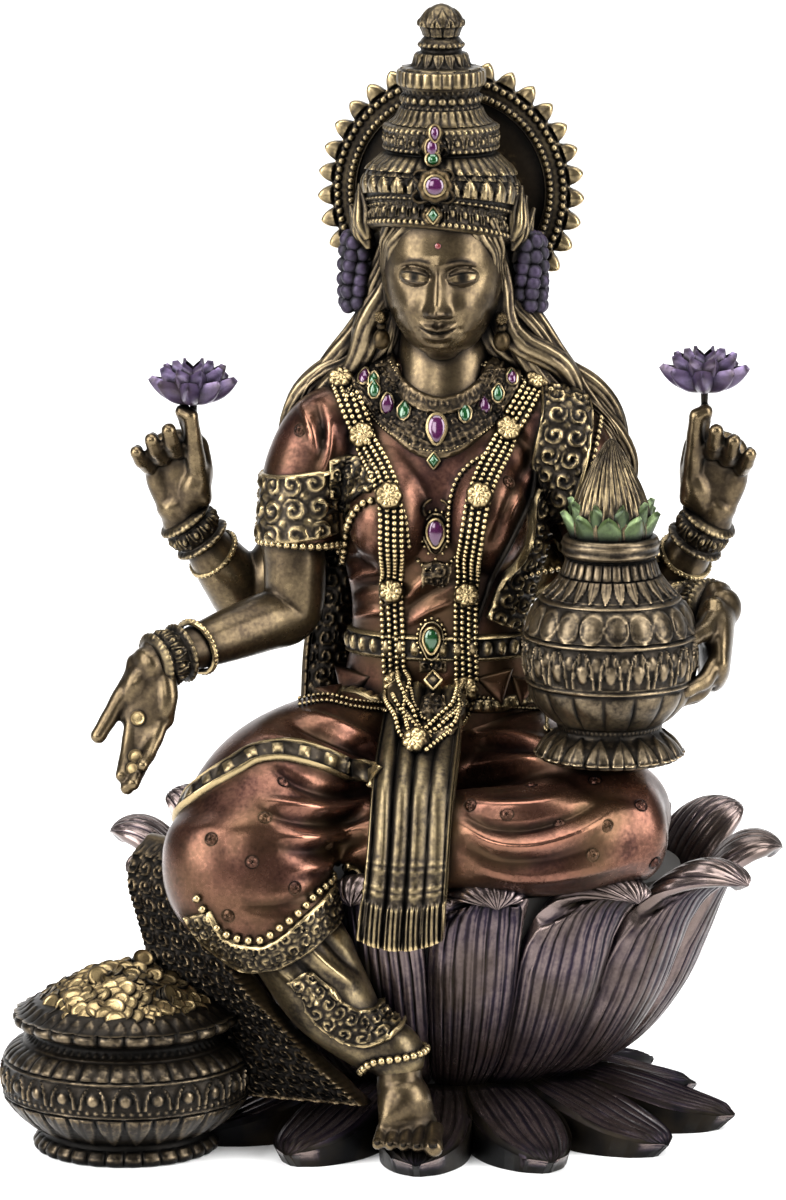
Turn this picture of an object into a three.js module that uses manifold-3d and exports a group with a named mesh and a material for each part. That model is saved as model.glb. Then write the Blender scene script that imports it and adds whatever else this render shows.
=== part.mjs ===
// A seated four-armed goddess of wealth on a lotus throne, a small table figure cast as one piece.
// Millimetres, +Z up, +Y towards the figure's back. The origin is on the ground under the lotus's middle.
import * as THREE from "three";
import { mergeVertices } from "three/addons/utils/BufferGeometryUtils.js";
import Module from "manifold-3d";

const wasm = await Module();
wasm.setup();

// Driving sizes of the lotus throne.
const seatHeight = 62; // ground to the crests of the standing petals
const rimHalfWidth = 76; // middle to the side petals' tips
const rimHalfDepth = 47; // middle to the front and back petals' tips
const waistHalfWidth = 31; // the narrow ring between the standing and the lying petals
const waistHalfDepth = 26;
const waistHeight = 11;
const baseHalfWidth = 69; // middle to the tips of the lying petals
const baseHalfDepth = 64;
const backShortening = 0.16; // how much shorter the lying petals are behind than in front
const petalTipThickness = 4.5;
const petals = 14; // in each of the two rings

// Driving sizes of the figure and of what she holds and wears.
const figureHeight = 188; // seat to the tip of the crown
const haloRadius = 26;
const haloThickness = 3.4;
const haloDish = 1.4; // depth of the dished middle
const haloRim = 4.6; // width of the raised rim
const haloPointLength = 3.9;
const haloPoints = 27;
const flowerRadius = 9.6;
const flowerHeight = 10;
const waterPotRadius = 18.6;
const waterPotHeight = 49; // foot to rim
const coconutHeight = 22;
const coinPotRadius = 27.2;
const coinPotHeight = 31; // foot to the flange of its dish
const coinPotFoot = 20;
const coinPotOutward = 66; // the coin pot's axis from the middle of the lotus
const coinPotForward = 40;
const coinHeapHeight = 11;
const coinRadius = 2.1;
const coinThickness = 0.9;
const coinsOnHeap = 4;

const turn = Math.PI * 2;
const radians = THREE.MathUtils.degToRad;
const poseHeight = 188; // the height that the pose's own points below were set out on
const poseScale = figureHeight / poseHeight;
const up = new THREE.Vector3(0, 0, 1);
const back = new THREE.Vector3(0, 1, 0);

// A point of the pose: right, back and up from the middle of the seat.
function pose(x, y, z) {
  return new THREE.Vector3(x, y, z).multiplyScalar(poseScale).add(up.clone().multiplyScalar(seatHeight));
}

// A closed geometry as a solid, with its faces turned outwards.
function solidOf(geometry) {
  const bare = new THREE.BufferGeometry();
  bare.setAttribute("position", geometry.getAttribute("position").clone());
  bare.setIndex(geometry.index);
  const merged = mergeVertices(bare, 1e-4);
  const p = merged.getAttribute("position");
  const index = new Uint32Array(merged.index.array);
  const [a, b, c] = [0, 1, 2].map(() => new THREE.Vector3());
  let volume = 0;
  for (let i = 0; i < index.length; i += 3) {
    a.fromBufferAttribute(p, index[i]);
    b.fromBufferAttribute(p, index[i + 1]);
    c.fromBufferAttribute(p, index[i + 2]);
    volume += a.dot(b.cross(c));
  }
  if (volume < 0)
    for (let i = 0; i < index.length; i += 3) [index[i + 1], index[i + 2]] = [index[i + 2], index[i + 1]];
  return new wasm.Manifold(new wasm.Mesh({ numProp: 3, vertProperties: p.array, triVerts: index }));
}

// Moves each vertex of a three.js geometry to where the function says.
function reshape(geometry, place) {
  const p = geometry.getAttribute("position");
  const uv = geometry.getAttribute("uv");
  for (let i = 0; i < p.count; i += 1) {
    const to = place(new THREE.Vector3().fromBufferAttribute(p, i), uv.getX(i), uv.getY(i));
    p.setXYZ(i, to.x, to.y, to.z);
  }
  return geometry;
}

// A round-ended limb, finger, lock or fold: each section is [point, half width, half depth].
// The depth lies along facing, and folds raises every other side of the section.
function limb(sections, { sides = 8, facing = back, folds = 0, round = 0.5 } = {}) {
  const curve = new THREE.CatmullRomCurve3(sections.map((s) => s[0]), false, "centripetal");
  const last = sections.length - 1;
  return reshape(new THREE.SphereGeometry(1, sides, last + 2), (_, u, v) => {
    const ring = Math.round((1 - v) * (last + 2));
    const i = THREE.MathUtils.clamp(ring - 1, 0, last);
    const [middle, width, depth = width] = sections[i];
    const along = curve.getTangent(i / last);
    const end = (ring === 0 ? -1 : ring === last + 2 ? 1 : 0) * round * width * poseScale;
    if (end) return middle.clone().addScaledVector(along, end);
    const wide = new THREE.Vector3().crossVectors(along, facing).normalize();
    const deep = new THREE.Vector3().crossVectors(wide, along).normalize();
    const side = Math.round(u * sides) % sides;
    const swell = (1 + folds * (side % 2 ? 1 : -1)) * poseScale;
    const angle = (side / sides) * turn;
    return middle
      .clone()
      .addScaledVector(wide, Math.cos(angle) * width * swell)
      .addScaledVector(deep, Math.sin(angle) * depth * swell);
  });
}

// A turned form standing at a point: the profile's points are [radius, height].
function turned(profile, at, sides, flute = 0) {
  const outline = profile.map(([radius, height]) => new THREE.Vector2(radius, height));
  return reshape(new THREE.LatheGeometry(outline, sides), (p, u) => {
    const side = Math.round(u * sides) % sides;
    const swell = 1 + flute * (side % 2 ? 1 : -1);
    return new THREE.Vector3(p.x * swell, -p.z * swell, p.y).add(at);
  });
}

// The lotus: a ring of lying petals that the whole figure stands on, a narrow waist,
// and a cup of standing petals whose tips curl over, with the seat inside them.
// Each ring is [half width, half depth, height] at the petals' middles and the same between petals.
function throne() {
  const h = seatHeight;
  const [w, d] = [rimHalfWidth, rimHalfDepth];
  const [bw, bd] = [baseHalfWidth, baseHalfDepth];
  const rings = [
    [[bw - 1.2, bd - 1.2, 0], [bw * 0.62, bd * 0.62, 0]],
    [[bw, bd, petalTipThickness], [bw * 0.64, bd * 0.64, 2.4]],
    [[bw * 0.68, bd * 0.68, waistHeight * 0.95], [bw * 0.55, bd * 0.55, waistHeight * 0.55]],
    [[waistHalfWidth, waistHalfDepth, waistHeight + 1.5], [waistHalfWidth, waistHalfDepth, waistHeight - 1]],
    [[w * 0.62, d * 0.72, h * 0.37], [w * 0.58, d * 0.67, h * 0.37]],
    [[w * 0.745, d * 0.84, h * 0.66], [w * 0.69, d * 0.78, h * 0.66]],
    [[w * 0.85, d * 0.92, h * 0.84], [w * 0.75, d * 0.82, h * 0.82]],
    [[w, d, h * 0.84], [w * 0.77, d * 0.83, h * 0.87]],
    [[w * 0.99, d * 0.99, h * 0.84 + petalTipThickness], [w * 0.76, d * 0.82, h * 0.93]],
    [[w * 0.86, d * 0.87, h], [w * 0.74, d * 0.79, h * 0.94]],
    [[w * 0.7, d * 0.74, h * 0.93], [w * 0.7, d * 0.74, h * 0.92]],
  ];
  const sides = petals * 4;
  const points = [new THREE.Vector3(0, 0, 0)];
  rings.forEach(([tip, valley], ring) => {
    const lying = ring < 3;
    const outline = lying ? new THREE.EllipseCurve(0, 0, bw, bd) : new THREE.EllipseCurve(0, 0, w, d);
    for (let i = 0; i < sides; i += 1) {
      const angle = outline.getUtoTmapping(i / sides) * turn;
      const share = [1, 0.58, 0, 0.58][(i + (lying ? 2 : 0)) % 4];
      const [x, y, z] = [0, 1, 2].map((k) => THREE.MathUtils.lerp(valley[k], tip[k], share));
      const short = lying ? 1 - backShortening * THREE.MathUtils.smoothstep(Math.sin(angle), -0.3, 0.2) : 1;
      points.push(new THREE.Vector3(Math.cos(angle) * x * short, Math.sin(angle) * y * short, z));
    }
  });
  points.push(new THREE.Vector3(0, 0, h * 0.93));
  const faces = [];
  const at = (ring, i) => 1 + ring * sides + (i % sides);
  for (let i = 0; i < sides; i += 1) {
    faces.push(0, at(0, i + 1), at(0, i));
    for (let ring = 0; ring < rings.length - 1; ring += 1) {
      faces.push(at(ring, i), at(ring, i + 1), at(ring + 1, i + 1));
      faces.push(at(ring, i), at(ring + 1, i + 1), at(ring + 1, i));
    }
    faces.push(at(rings.length - 1, i), at(rings.length - 1, i + 1), points.length - 1);
  }
  return new THREE.BufferGeometry().setFromPoints(points).setIndex(faces);
}

// The body under the clothes, from the seat to the chin.
function torso() {
  const sections = [
    [pose(-1, 4, 0), 26, 17],
    [pose(-1, 3, 18), 25, 16],
    [pose(-1, 1, 41), 20, 12.5],
    [pose(-1, 0, 54), 20, 12],
    [pose(-1, 0, 70), 23.5, 13.5],
    [pose(-1, 0, 86), 25.5, 12.5],
    [pose(-1, 0, 93), 20, 10],
    [pose(-1, 0, 99), 14, 8.6],
    [pose(-0.5, -0.5, 112), 9.4, 8.4],
  ];
  const bust = [-11, 10].map((x) =>
    limb([[pose(x, -5, 65), 7.5, 6], [pose(x, -10, 73), 9.4, 9], [pose(x * 0.95, -6, 85), 7, 6]]),
  );
  return [limb(sections, { sides: 12, round: 0.1 }), ...bust];
}

// The head, and the crown in turned tiers with a leaf at each side and a tassel over each ear.
function head() {
  const face = limb(
    [
      [pose(-0.5, -8.5, 109.5), 4, 4.5],
      [pose(-0.5, -5, 114.5), 9.8, 9.4],
      [pose(-0.5, -3, 121), 12.8, 12.2],
      [pose(-0.5, -2, 130), 13.4, 13.5],
      [pose(-0.5, -1, 140), 12.6, 13.5],
    ],
    { sides: 10 },
  );
  const nose = limb([[pose(-0.5, -15, 127), 1, 1.2], [pose(-0.5, -17, 120.4), 2, 1.8]], { sides: 5 });
  const profile = [
    [0, -9],
    [14, -2],
    [16.2, -1],
    [16.2, 4],
    [16.6, 9],
    [15.4, 13],
    [11.2, 18],
    [12.2, 21],
    [8.3, 27],
    [9, 31.5],
    [6.2, 34],
    [4.5, 40],
    [4.3, 45.5],
    [0, 50.5],
  ].map(([r, z]) => [r * poseScale, z * poseScale]);
  const crown = turned(profile, pose(-1, 2, 135), 12);
  const crest = limb([[pose(-1.5, -13.6, 137), 3, 2], [pose(-1.4, -12, 150), 4, 2.4], [pose(-1.3, -8.5, 161), 2, 2]], {
    sides: 6,
  });
  const sides = [-1, 1].flatMap((side) => [
    limb([[pose(side * 15 - 1, 1, 129), 2, 3], [pose(side * 17.5 - 1, 1, 138), 2.4, 4], [pose(side * 19.6 - 1, 2, 149), 0.7, 1]], {
      sides: 5,
    }),
    limb([[pose(side * 17 - 1, 4, 114), 3, 4], [pose(side * 19.5 - 1, 4, 123), 3.6, 5], [pose(side * 18 - 1, 4, 132), 2.6, 3.6]], {
      sides: 6,
    }),
    limb([[pose(side * 12 - 0.5, -3, 118), 1.2], [pose(side * 13.2 - 0.5, -4.5, 110), 2.4]], { sides: 5 }),
  ]);
  return [face, nose, crown, crest, ...sides];
}

// The locks of hair that fall over the shoulders and down the back.
function hair() {
  const right = limb(
    [
      [pose(-12, 5, 120), 5, 6],
      [pose(-20, 5, 105), 6.4, 6],
      [pose(-31, 7, 93), 6, 6],
      [pose(-38, 9, 77), 4, 4.5],
      [pose(-38.5, 10, 60), 2, 3],
    ],
    { sides: 7, folds: 0.1 },
  );
  const left = limb(
    [
      [pose(11, 5, 120), 5, 6],
      [pose(19, 3, 107), 6.6, 6],
      [pose(30, 4, 97), 6, 6],
      [pose(36.5, 6, 83), 4, 4.5],
      [pose(38, 8, 67), 2, 3],
    ],
    { sides: 7, folds: 0.1 },
  );
  const mane = limb(
    [
      [pose(-1, 8, 138), 11, 8],
      [pose(-1, 11, 112), 17, 7],
      [pose(-1, 14, 88), 24, 7],
      [pose(-1, 16, 62), 20, 6],
      [pose(-1, 16, 36), 10, 4.5],
    ],
    { sides: 10, folds: 0.06 },
  );
  return [right, left, mane];
}

// A dished disc with a raised rim and a ring of points, standing behind the crown.
function halo() {
  const outline = new THREE.Shape();
  for (let i = 0; i < haloPoints * 2; i += 1) {
    const angle = (i / (haloPoints * 2)) * turn;
    const reach = haloRadius + haloPointLength * (i % 2);
    outline[i ? "lineTo" : "moveTo"](Math.cos(angle) * reach, Math.sin(angle) * reach);
  }
  const plate = new THREE.ExtrudeGeometry(outline, { depth: haloThickness, bevelEnabled: false });
  const dish = new THREE.CylinderGeometry(haloRadius - haloRim, haloRadius - haloRim - haloDish, 2 * haloDish, 16);
  const middle = pose(-0.5, 16, 142);
  plate.rotateX(Math.PI / 2).translate(middle.x, middle.y + haloThickness, middle.z);
  dish.translate(middle.x, middle.y, middle.z);
  return solidOf(plate).subtract(solidOf(dish));
}

// A hand: reach runs from the wrist to the fingers, palm is the way that the palm faces, thumbSide is 1 or -1.
// Each finger is [where it leaves the palm, length, bend at its three joints in degrees, splay, half width].
function hand(wrist, reach, palm, thumbSide, fingers) {
  const e = reach.clone().normalize();
  const n = palm.clone().addScaledVector(e, -palm.dot(e)).normalize();
  const a = new THREE.Vector3().crossVectors(e, n).multiplyScalar(thumbSide);
  const spot = ([x, y, z]) =>
    [e, a, n].reduce((sum, axis, i) => sum.addScaledVector(axis, [x, y, z][i] * poseScale), wrist.clone());
  const palmForm = limb([[spot([-1, 0, 0]), 4.6, 3.6], [spot([7, 0.4, 0]), 6.2, 3.2], [spot([12.5, 0, 0]), 6, 2.2]], {
    sides: 7,
    facing: n,
  });
  return fingers.map(([base, length, bends, splay = 0, width = 1.6]) => {
    const point = spot(base);
    const sections = [[point.clone(), width]];
    let bend = 0;
    bends.forEach((degrees, j) => {
      bend += radians(degrees);
      const step = e.clone().multiplyScalar(Math.cos(bend)).addScaledVector(n, Math.sin(bend)).addScaledVector(a, splay);
      point.addScaledVector(step.normalize(), length * poseScale * [0.42, 0.32, 0.26][j]);
      sections.push([point.clone(), width * (0.94 - 0.12 * j)]);
    });
    return limb(sections, { sides: 5, facing: a });
  }).concat(palmForm);
}

// The sections of a forearm that ends in ridged bracelets at the wrist.
function forearm(elbow, wrist, elbowRadius, wristRadius) {
  const along = (mm) => wrist.clone().addScaledVector(elbow.clone().sub(wrist).normalize(), mm * poseScale);
  return [
    [elbow, elbowRadius],
    [along(11), wristRadius + 1],
    [along(10.5), wristRadius + 2.7],
    [along(5), wristRadius + 0.9],
    [along(4.4), wristRadius + 2],
    [along(0.5), wristRadius + 0.6],
  ];
}

// A lotus flower held between finger and thumb: two rings of pointed petals.
function heldFlower(base) {
  const [r, h] = [flowerRadius, flowerHeight];
  const ring = (reach, foot, top, sides) =>
    turned([[0, foot], [reach * 0.5, foot], [reach, top], [0, top - 1.5]], base, sides, 0.13);
  return [ring(r, -1, h * 0.5, 12), ring(r * 0.6, h * 0.2, h, 8)];
}

// The two raised arms at the back, each with a flower.
function raisedArms() {
  return [-1, 1].flatMap((side) => {
    const lift = side > 0 ? 2 : 0;
    const x = side > 0 ? 1.4 : 0;
    const elbow = pose(side * 45, 12, 50);
    const wrist = pose(side * (59.5 - 0.5 * x), 5, 71 + lift);
    const upper = [[pose(side * 20, 8, 84), 9], [pose(side * 33, 11, 66), 8.2]];
    const arm = limb([...upper, ...forearm(elbow, wrist, 7.6, 4.4)], { sides: 7 });
    const fingers = [
      [[11, 3.8, 0], 16.5, [12, 10, 8], 0.12],
      [[11.5, 1.2, 0], 10.5, [70, 85, 50]],
      [[11, -1.6, 0], 10.5, [70, 90, 50]],
      [[10, -4.4, 0], 9.5, [70, 90, 50]],
      [[4, 4.4, 1.5], 21, [2, 2, 2], 0.04, 1.9],
    ];
    const reach = new THREE.Vector3(side * 0.02, -0.06, 1);
    const held = hand(wrist, reach, new THREE.Vector3(side * 0.1, -1, 0), -side, fingers);
    const flower = heldFlower(pose(side * (55.5 + x), 0, 96.5 + lift * 1.6));
    return [arm, ...held, ...flower];
  });
}

// The lowered right arm with its short sleeve, the open palm and the coins on it.
function givingArm() {
  const elbow = pose(-34, -4, 50.5);
  const wrist = pose(-55, -27, 43);
  const arm = limb([[pose(-30, -2, 72), 7.2], ...forearm(elbow, wrist, 7, 4.4)], { sides: 7 });
  const sleeve = limb([[pose(-22, 0, 95), 7, 8], [pose(-28, -1, 84), 10.4, 10.4], [pose(-31, -3, 72), 9, 9], [pose(-31.5, -4, 65), 8.4, 8.4]], {
    sides: 9,
    round: 0.15,
  });
  const fingers = [
    [[11.5, 4.6, 0], 13.5, [8, 10, 8], 0.1],
    [[12, 1.5, 0], 15, [4, 8, 8], 0.03],
    [[11.5, -1.7, 0], 14, [6, 10, 8], -0.05],
    [[10.5, -4.6, 0], 12, [10, 14, 10], -0.14],
    [[3, 4.4, 1], 14, [6, 8, 8], 0.55, 2.1],
  ];
  const open = hand(wrist, new THREE.Vector3(-0.34, -0.25, -0.9), new THREE.Vector3(-0.2, -0.95, 0.25), 1, fingers);
  const coins = [[-60.5, -32.6, 31], [-63.2, -33.6, 23]].map(([x, y, z]) => {
    const coin = new THREE.CylinderGeometry(coinRadius, coinRadius, 3 * coinThickness, 6);
    return coin.translate(...pose(x, y, z).toArray());
  });
  return [arm, sleeve, ...open, ...coins];
}

// The left arm that goes round the water pot, with its hand on the pot's side.
function holdingArm(potAxis) {
  const wrist = potAxis.clone().add(new THREE.Vector3(waterPotRadius + 3.4, 16, waterPotHeight * 0.62));
  const elbow = pose(44, 8, 49);
  const upper = [[pose(22, 0, 94), 8], [pose(29, 2, 84), 9.6], [pose(35, 4, 66), 8.6]];
  const arm = limb([...upper, ...forearm(elbow, wrist, 7.4, 4.6)], { sides: 7 });
  const fingers = [
    [[9.5, 3.6, 0], 12, [30, 40, 30]],
    [[10, 1.2, 0], 13, [34, 44, 34]],
    [[10, -1.3, 0], 13, [36, 46, 34]],
    [[9.5, -3.8, 0], 11, [40, 46, 34]],
    [[3, 4, 1.5], 11, [34, 20, 10], 0.5, 1.9],
  ];
  return [arm, ...hand(wrist, new THREE.Vector3(0.04, -0.8, -0.55), new THREE.Vector3(-1, -0.2, 0), -1, fingers)];
}

// The water pot on her left thigh, with mango leaves and a coconut in its mouth.
function waterPot(axis) {
  const r = waterPotRadius;
  const h = waterPotHeight;
  const profile = [
    [0, 0],
    [r * 0.8, 0],
    [r * 0.8, h * 0.06],
    [r * 0.59, h * 0.16],
    [r * 0.96, h * 0.4],
    [r, h * 0.53],
    [r * 0.92, h * 0.65],
    [r * 0.53, h * 0.82],
    [r * 0.5, h * 0.9],
    [r * 0.56, h * 0.91],
    [r * 0.56, h],
    [0, h],
  ];
  const mouth = axis.clone().addScaledVector(up, h);
  const nutProfile = [[0, -2], [r * 0.36, 0], [r * 0.4, coconutHeight * 0.35], [r * 0.22, coconutHeight * 0.72], [0, coconutHeight]];
  const leafProfile = [[0, -1], [r * 0.36, -1], [r * 0.5, 7.5], [0, 5]];
  return [turned(profile, axis, 13), turned(nutProfile, mouth, 8), turned(leafProfile, mouth, 10, 0.1)];
}

// The pot of coins on the ground at her right.
function coinPot() {
  const axis = new THREE.Vector3(-coinPotOutward, -coinPotForward, 0);
  const r = coinPotRadius;
  const h = coinPotHeight;
  const profile = [
    [0, 0],
    [coinPotFoot, 0],
    [coinPotFoot, h * 0.1],
    [r * 0.66, h * 0.2],
    [r * 0.93, h * 0.38],
    [r, h * 0.54],
    [r * 0.9, h * 0.74],
    [r * 0.77, h * 0.86],
    [r * 0.87, h * 0.93],
    [r * 0.86, h],
    [r * 0.52, h + coinHeapHeight * 0.7],
    [0, h + coinHeapHeight],
  ];
  const coins = [];
  for (let i = 0; i < coinsOnHeap; i += 1) {
    const angle = i * 2.4;
    const reach = r * (0.14 + 0.46 * Math.sqrt(i / coinsOnHeap));
    const rise = h + coinHeapHeight * (1 - (reach / r / 0.9) ** 1.3);
    const coin = new THREE.CylinderGeometry(coinRadius, coinRadius, coinThickness * 3, 6);
    coin.rotateX(Math.PI / 2 + 0.35 * Math.sin(angle));
    coins.push(coin.translate(axis.x + Math.cos(angle) * reach, axis.y + Math.sin(angle) * reach, rise));
  }
  return [turned(profile, axis, 14), ...coins];
}

// The skirt over both legs: the right leg hangs, the left lies folded on the seat.
function legs() {
  const ankle = new THREE.Vector3(-5 * poseScale, -48 * poseScale, petalTipThickness + 16);
  const rightThigh = limb(
    [
      [pose(-12, 2, 16), 14, 15],
      [pose(-24, -16, 19), 15.5, 16],
      [pose(-34, -32, 14), 18, 17],
      [pose(-38, -42, 6), 18.5, 15],
    ],
    { sides: 10, facing: up },
  );
  const rightShin = limb(
    [
      [pose(-39, -42, 12), 17, 14],
      [pose(-38.5, -44, 1), 19, 15],
      [pose(-33, -46, -10), 17, 13.5],
      [pose(-27, -47, -20), 13.5, 11.5],
    ],
    { sides: 10, round: 0.05 },
  );
  const underskirt = limb(
    [
      [pose(-28, -45, -14), 11, 10],
      [pose(-20, -46, -27), 9.5, 9],
      [pose(-12, -47, -35), 6.6, 6.6],
      [ankle.clone().add(new THREE.Vector3(-1, 0, 3)), 6, 6],
      [ankle, 4.6, 4.8],
    ],
    { sides: 8 },
  );
  const leftThigh = limb(
    [[pose(12, 2, 15), 14, 15], [pose(25, -12, 14), 15, 15], [pose(38, -26, 9.5), 17, 14.5]],
    { sides: 10, facing: up },
  );
  const leftShin = limb(
    [
      [pose(44, -28, 9), 12, 12.5],
      [pose(28, -36, 8), 13.5, 12.5],
      [pose(8, -38, 7.5), 12, 11.5],
      [pose(-14, -34, 6), 9, 9],
    ],
    { sides: 10, facing: up },
  );
  return [rightThigh, rightShin, underskirt, leftThigh, leftShin, ...foot(ankle)];
}

// The bare right foot on the front lying petal.
function foot(ankle) {
  const ball = new THREE.Vector3(ankle.x + 2 * poseScale, ankle.y - 9 * poseScale, petalTipThickness + 2.6);
  const heel = new THREE.Vector3(ankle.x, ankle.y + 4 * poseScale, petalTipThickness + 8);
  const sole = limb([[heel, 5, 5], [ankle.clone().lerp(ball, 0.5), 5.8, 5.4], [ball, 7, 2.8]], { sides: 7, facing: up });
  const toes = [-4.8, -2.3, 0.2, 2.8, 5.4].map((across, i) => {
    const root = ball.clone().add(new THREE.Vector3(across * poseScale, 2 * poseScale, 0));
    const tip = root.clone().add(new THREE.Vector3(0, -(5.2 + i * 0.4) * poseScale, -0.8));
    return limb([[root, 1.5], [tip, i === 4 ? 1.9 : 1.35]], { sides: 5, facing: up });
  });
  return [sole, ...toes];
}

// The pleated panel that falls from the belt over the lap.
function frontPanel() {
  const line = new THREE.CatmullRomCurve3([
    pose(-2.5, -14, 36),
    pose(-2.5, -30, 29),
    pose(-2.5, -45, 20),
    pose(-3, -51, 6),
    pose(-4.5, -52, -11),
  ]);
  const side = new THREE.Vector3(1, 0, 0);
  return reshape(new THREE.BoxGeometry(1, 1, 1, 8, 4, 1), (p) => {
    const v = 0.5 - p.y;
    const pleat = Math.cos(p.x * 8 * Math.PI) * 0.9;
    const out = new THREE.Vector3().crossVectors(line.getTangent(v), side).normalize();
    const half = THREE.MathUtils.lerp(8, 10.4, v) * poseScale;
    const droop = v > 0.95 ? -4.5 * (1 - (2 * p.x) ** 2) : 0;
    return line
      .getPoint(v)
      .addScaledVector(side, 2 * p.x * half)
      .addScaledVector(out, (p.z > 0 ? pleat + 1.3 : -4) * poseScale)
      .addScaledVector(up, droop * poseScale);
  });
}

// The end of the shawl, which falls over the lotus beside the hanging leg down to the lying petals.
function fallingCloth() {
  const shares = [[-0.78, -0.56, 1.06], [-0.68, -0.66, 0.78], [-0.53, -0.74, 0.48], [-0.34, -0.86, 0.2]];
  const line = new THREE.CatmullRomCurve3(
    shares.map(([x, y, z]) => new THREE.Vector3(x * rimHalfWidth, y * rimHalfDepth, z * seatHeight)),
  );
  return reshape(new THREE.BoxGeometry(1, 1, 1, 3, 4, 1), (p) => {
    const v = 0.5 - p.y;
    const middle = line.getPoint(v);
    const out = new THREE.Vector3(middle.x / rimHalfWidth ** 2, middle.y / rimHalfDepth ** 2, 0).normalize();
    const side = new THREE.Vector3().crossVectors(up, out);
    return middle.addScaledVector(side, 2 * p.x * 12.5).addScaledVector(out, p.z > 0 ? 3.5 : -8);
  });
}

// The broad collar, the garland in two strands, and the pendants between them.
function jewellery() {
  const collar = reshape(new THREE.TorusGeometry(1, 0.34, 4, 12), (p, u) => {
    const front = Math.max(0, -Math.sin(u * turn)) ** 3;
    return pose(-0.8 + 13.2 * p.x, 12 * p.y - 0.5, 97.5 - 16 * front * Math.hypot(p.x, p.y) ** 2 + p.z * 6);
  });
  const strands = [-1, 1].map((side) =>
    limb(
      [
        [pose(side * 21 - 1, -7, 94), 2.8, 2],
        [pose(side * 16 - 1, -14.5, 82), 2.6, 1.6],
        [pose(side * 10 - 1, -20, 68), 2.6, 1.6],
        [pose(side * 8.5 - 1, -14, 48), 2.6, 1.6],
        [pose(side * 7.8 - 1, -20, 33), 2.6, 1.6],
        [pose(-3, -30, 25), 3, 2.6],
      ],
      { sides: 5 },
    ),
  );
  return [collar, ...strands];
}

// The shawl from her left shoulder across the chest to the waist, and its end down the back.
function shawl() {
  const fall = limb(
    [[pose(22, 2, 97), 9, 5], [pose(23, -8, 88), 9, 4.5], [pose(18, -14, 72), 8.4, 4.5], [pose(13, -12, 44), 7.6, 3.4]],
    { sides: 7, folds: 0.04 },
  );
  const backFall = limb([[pose(23, 4, 96), 8, 5], [pose(22, 15, 80), 9, 4], [pose(18, 18, 50), 10, 4], [pose(14, 17, 10), 12, 5]], {
    sides: 7,
  });
  return [fall, backFall];
}

const potAxis = pose(38.5, -25, 24);
const forms = [
  throne(),
  ...torso(),
  ...head(),
  ...hair(),
  ...raisedArms(),
  ...givingArm(),
  ...holdingArm(potAxis),
  ...waterPot(potAxis),
  ...coinPot(),
  ...legs(),
  frontPanel(),
  fallingCloth(),
  ...jewellery(),
  ...shawl(),
];

// The forms as one casting, solid inside: of the shells only the outer one is kept.
let casting = halo();
for (const form of forms) casting = casting.add(solidOf(form));
const shells = casting.decompose().sort((one, other) => other.volume() - one.volume());
const cast = shells[0].getMesh();
const geometry = new THREE.BufferGeometry();
geometry.setAttribute("position", new THREE.BufferAttribute(cast.vertProperties, cast.numProp));
geometry.setIndex(new THREE.BufferAttribute(cast.triVerts, 1));
geometry.computeVertexNormals();

const bronze = new THREE.MeshStandardMaterial({ color: 0x6f5a3c, roughness: 0.42, metalness: 0.85 });
const figure = new THREE.Mesh(geometry, bronze);
figure.name = "lakshmi_on_lotus";
const part = new THREE.Group();
part.add(figure);

export default part;
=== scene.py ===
import bpy
import json
import math
import numpy as np
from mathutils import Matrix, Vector
from mathutils.bvhtree import BVHTree


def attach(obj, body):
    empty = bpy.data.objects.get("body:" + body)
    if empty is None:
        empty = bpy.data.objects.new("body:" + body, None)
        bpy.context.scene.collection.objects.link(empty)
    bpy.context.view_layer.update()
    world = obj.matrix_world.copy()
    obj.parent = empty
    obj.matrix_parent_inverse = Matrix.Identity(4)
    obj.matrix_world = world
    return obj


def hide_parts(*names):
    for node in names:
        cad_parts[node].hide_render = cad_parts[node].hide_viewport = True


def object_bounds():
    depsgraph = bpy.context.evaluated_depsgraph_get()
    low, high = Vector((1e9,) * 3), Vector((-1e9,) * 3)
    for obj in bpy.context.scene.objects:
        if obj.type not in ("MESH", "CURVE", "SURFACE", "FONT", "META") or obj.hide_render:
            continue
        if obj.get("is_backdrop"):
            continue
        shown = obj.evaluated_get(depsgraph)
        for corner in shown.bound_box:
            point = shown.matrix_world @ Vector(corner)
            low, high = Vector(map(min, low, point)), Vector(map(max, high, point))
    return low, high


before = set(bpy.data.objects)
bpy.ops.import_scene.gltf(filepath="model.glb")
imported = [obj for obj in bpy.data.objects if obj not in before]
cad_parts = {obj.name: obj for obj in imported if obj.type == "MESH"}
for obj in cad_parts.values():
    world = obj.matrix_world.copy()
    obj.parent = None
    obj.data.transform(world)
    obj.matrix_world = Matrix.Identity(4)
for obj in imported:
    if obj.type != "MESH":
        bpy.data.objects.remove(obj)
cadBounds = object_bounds()

mm = 0.001
turn = 2 * math.pi
seat = 62.0  # ground to the crests of the standing petals, as in the casting
randomDraw = np.random.default_rng(11)


def report(words):
    print("stage:", words)


# camera: the photograph's view, with the picture's pixels as rays
cameraSet = {
    "azimuth": 6.0, "elevation": 11.0, "distance": 1600.0, "pixelsPerMm": 4.55, "aim": (-10.5, -10.0, 117.0)
}
picture = {"centre": (393, 600), "height": 1200}  # pixels of the photograph


def cameraFrame():
    a, e = math.radians(cameraSet["azimuth"]), math.radians(cameraSet["elevation"])
    back = np.array([math.sin(a) * math.cos(e), -math.cos(a) * math.cos(e), math.sin(e)])
    right = np.array([math.cos(a), math.sin(a), 0.0])
    return right, np.cross(back, right), back


camRight, camUp, camBack = cameraFrame()
camPlace = np.array(cameraSet["aim"]) + camBack * cameraSet["distance"]
camFocal = cameraSet["pixelsPerMm"] * cameraSet["distance"]


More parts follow.
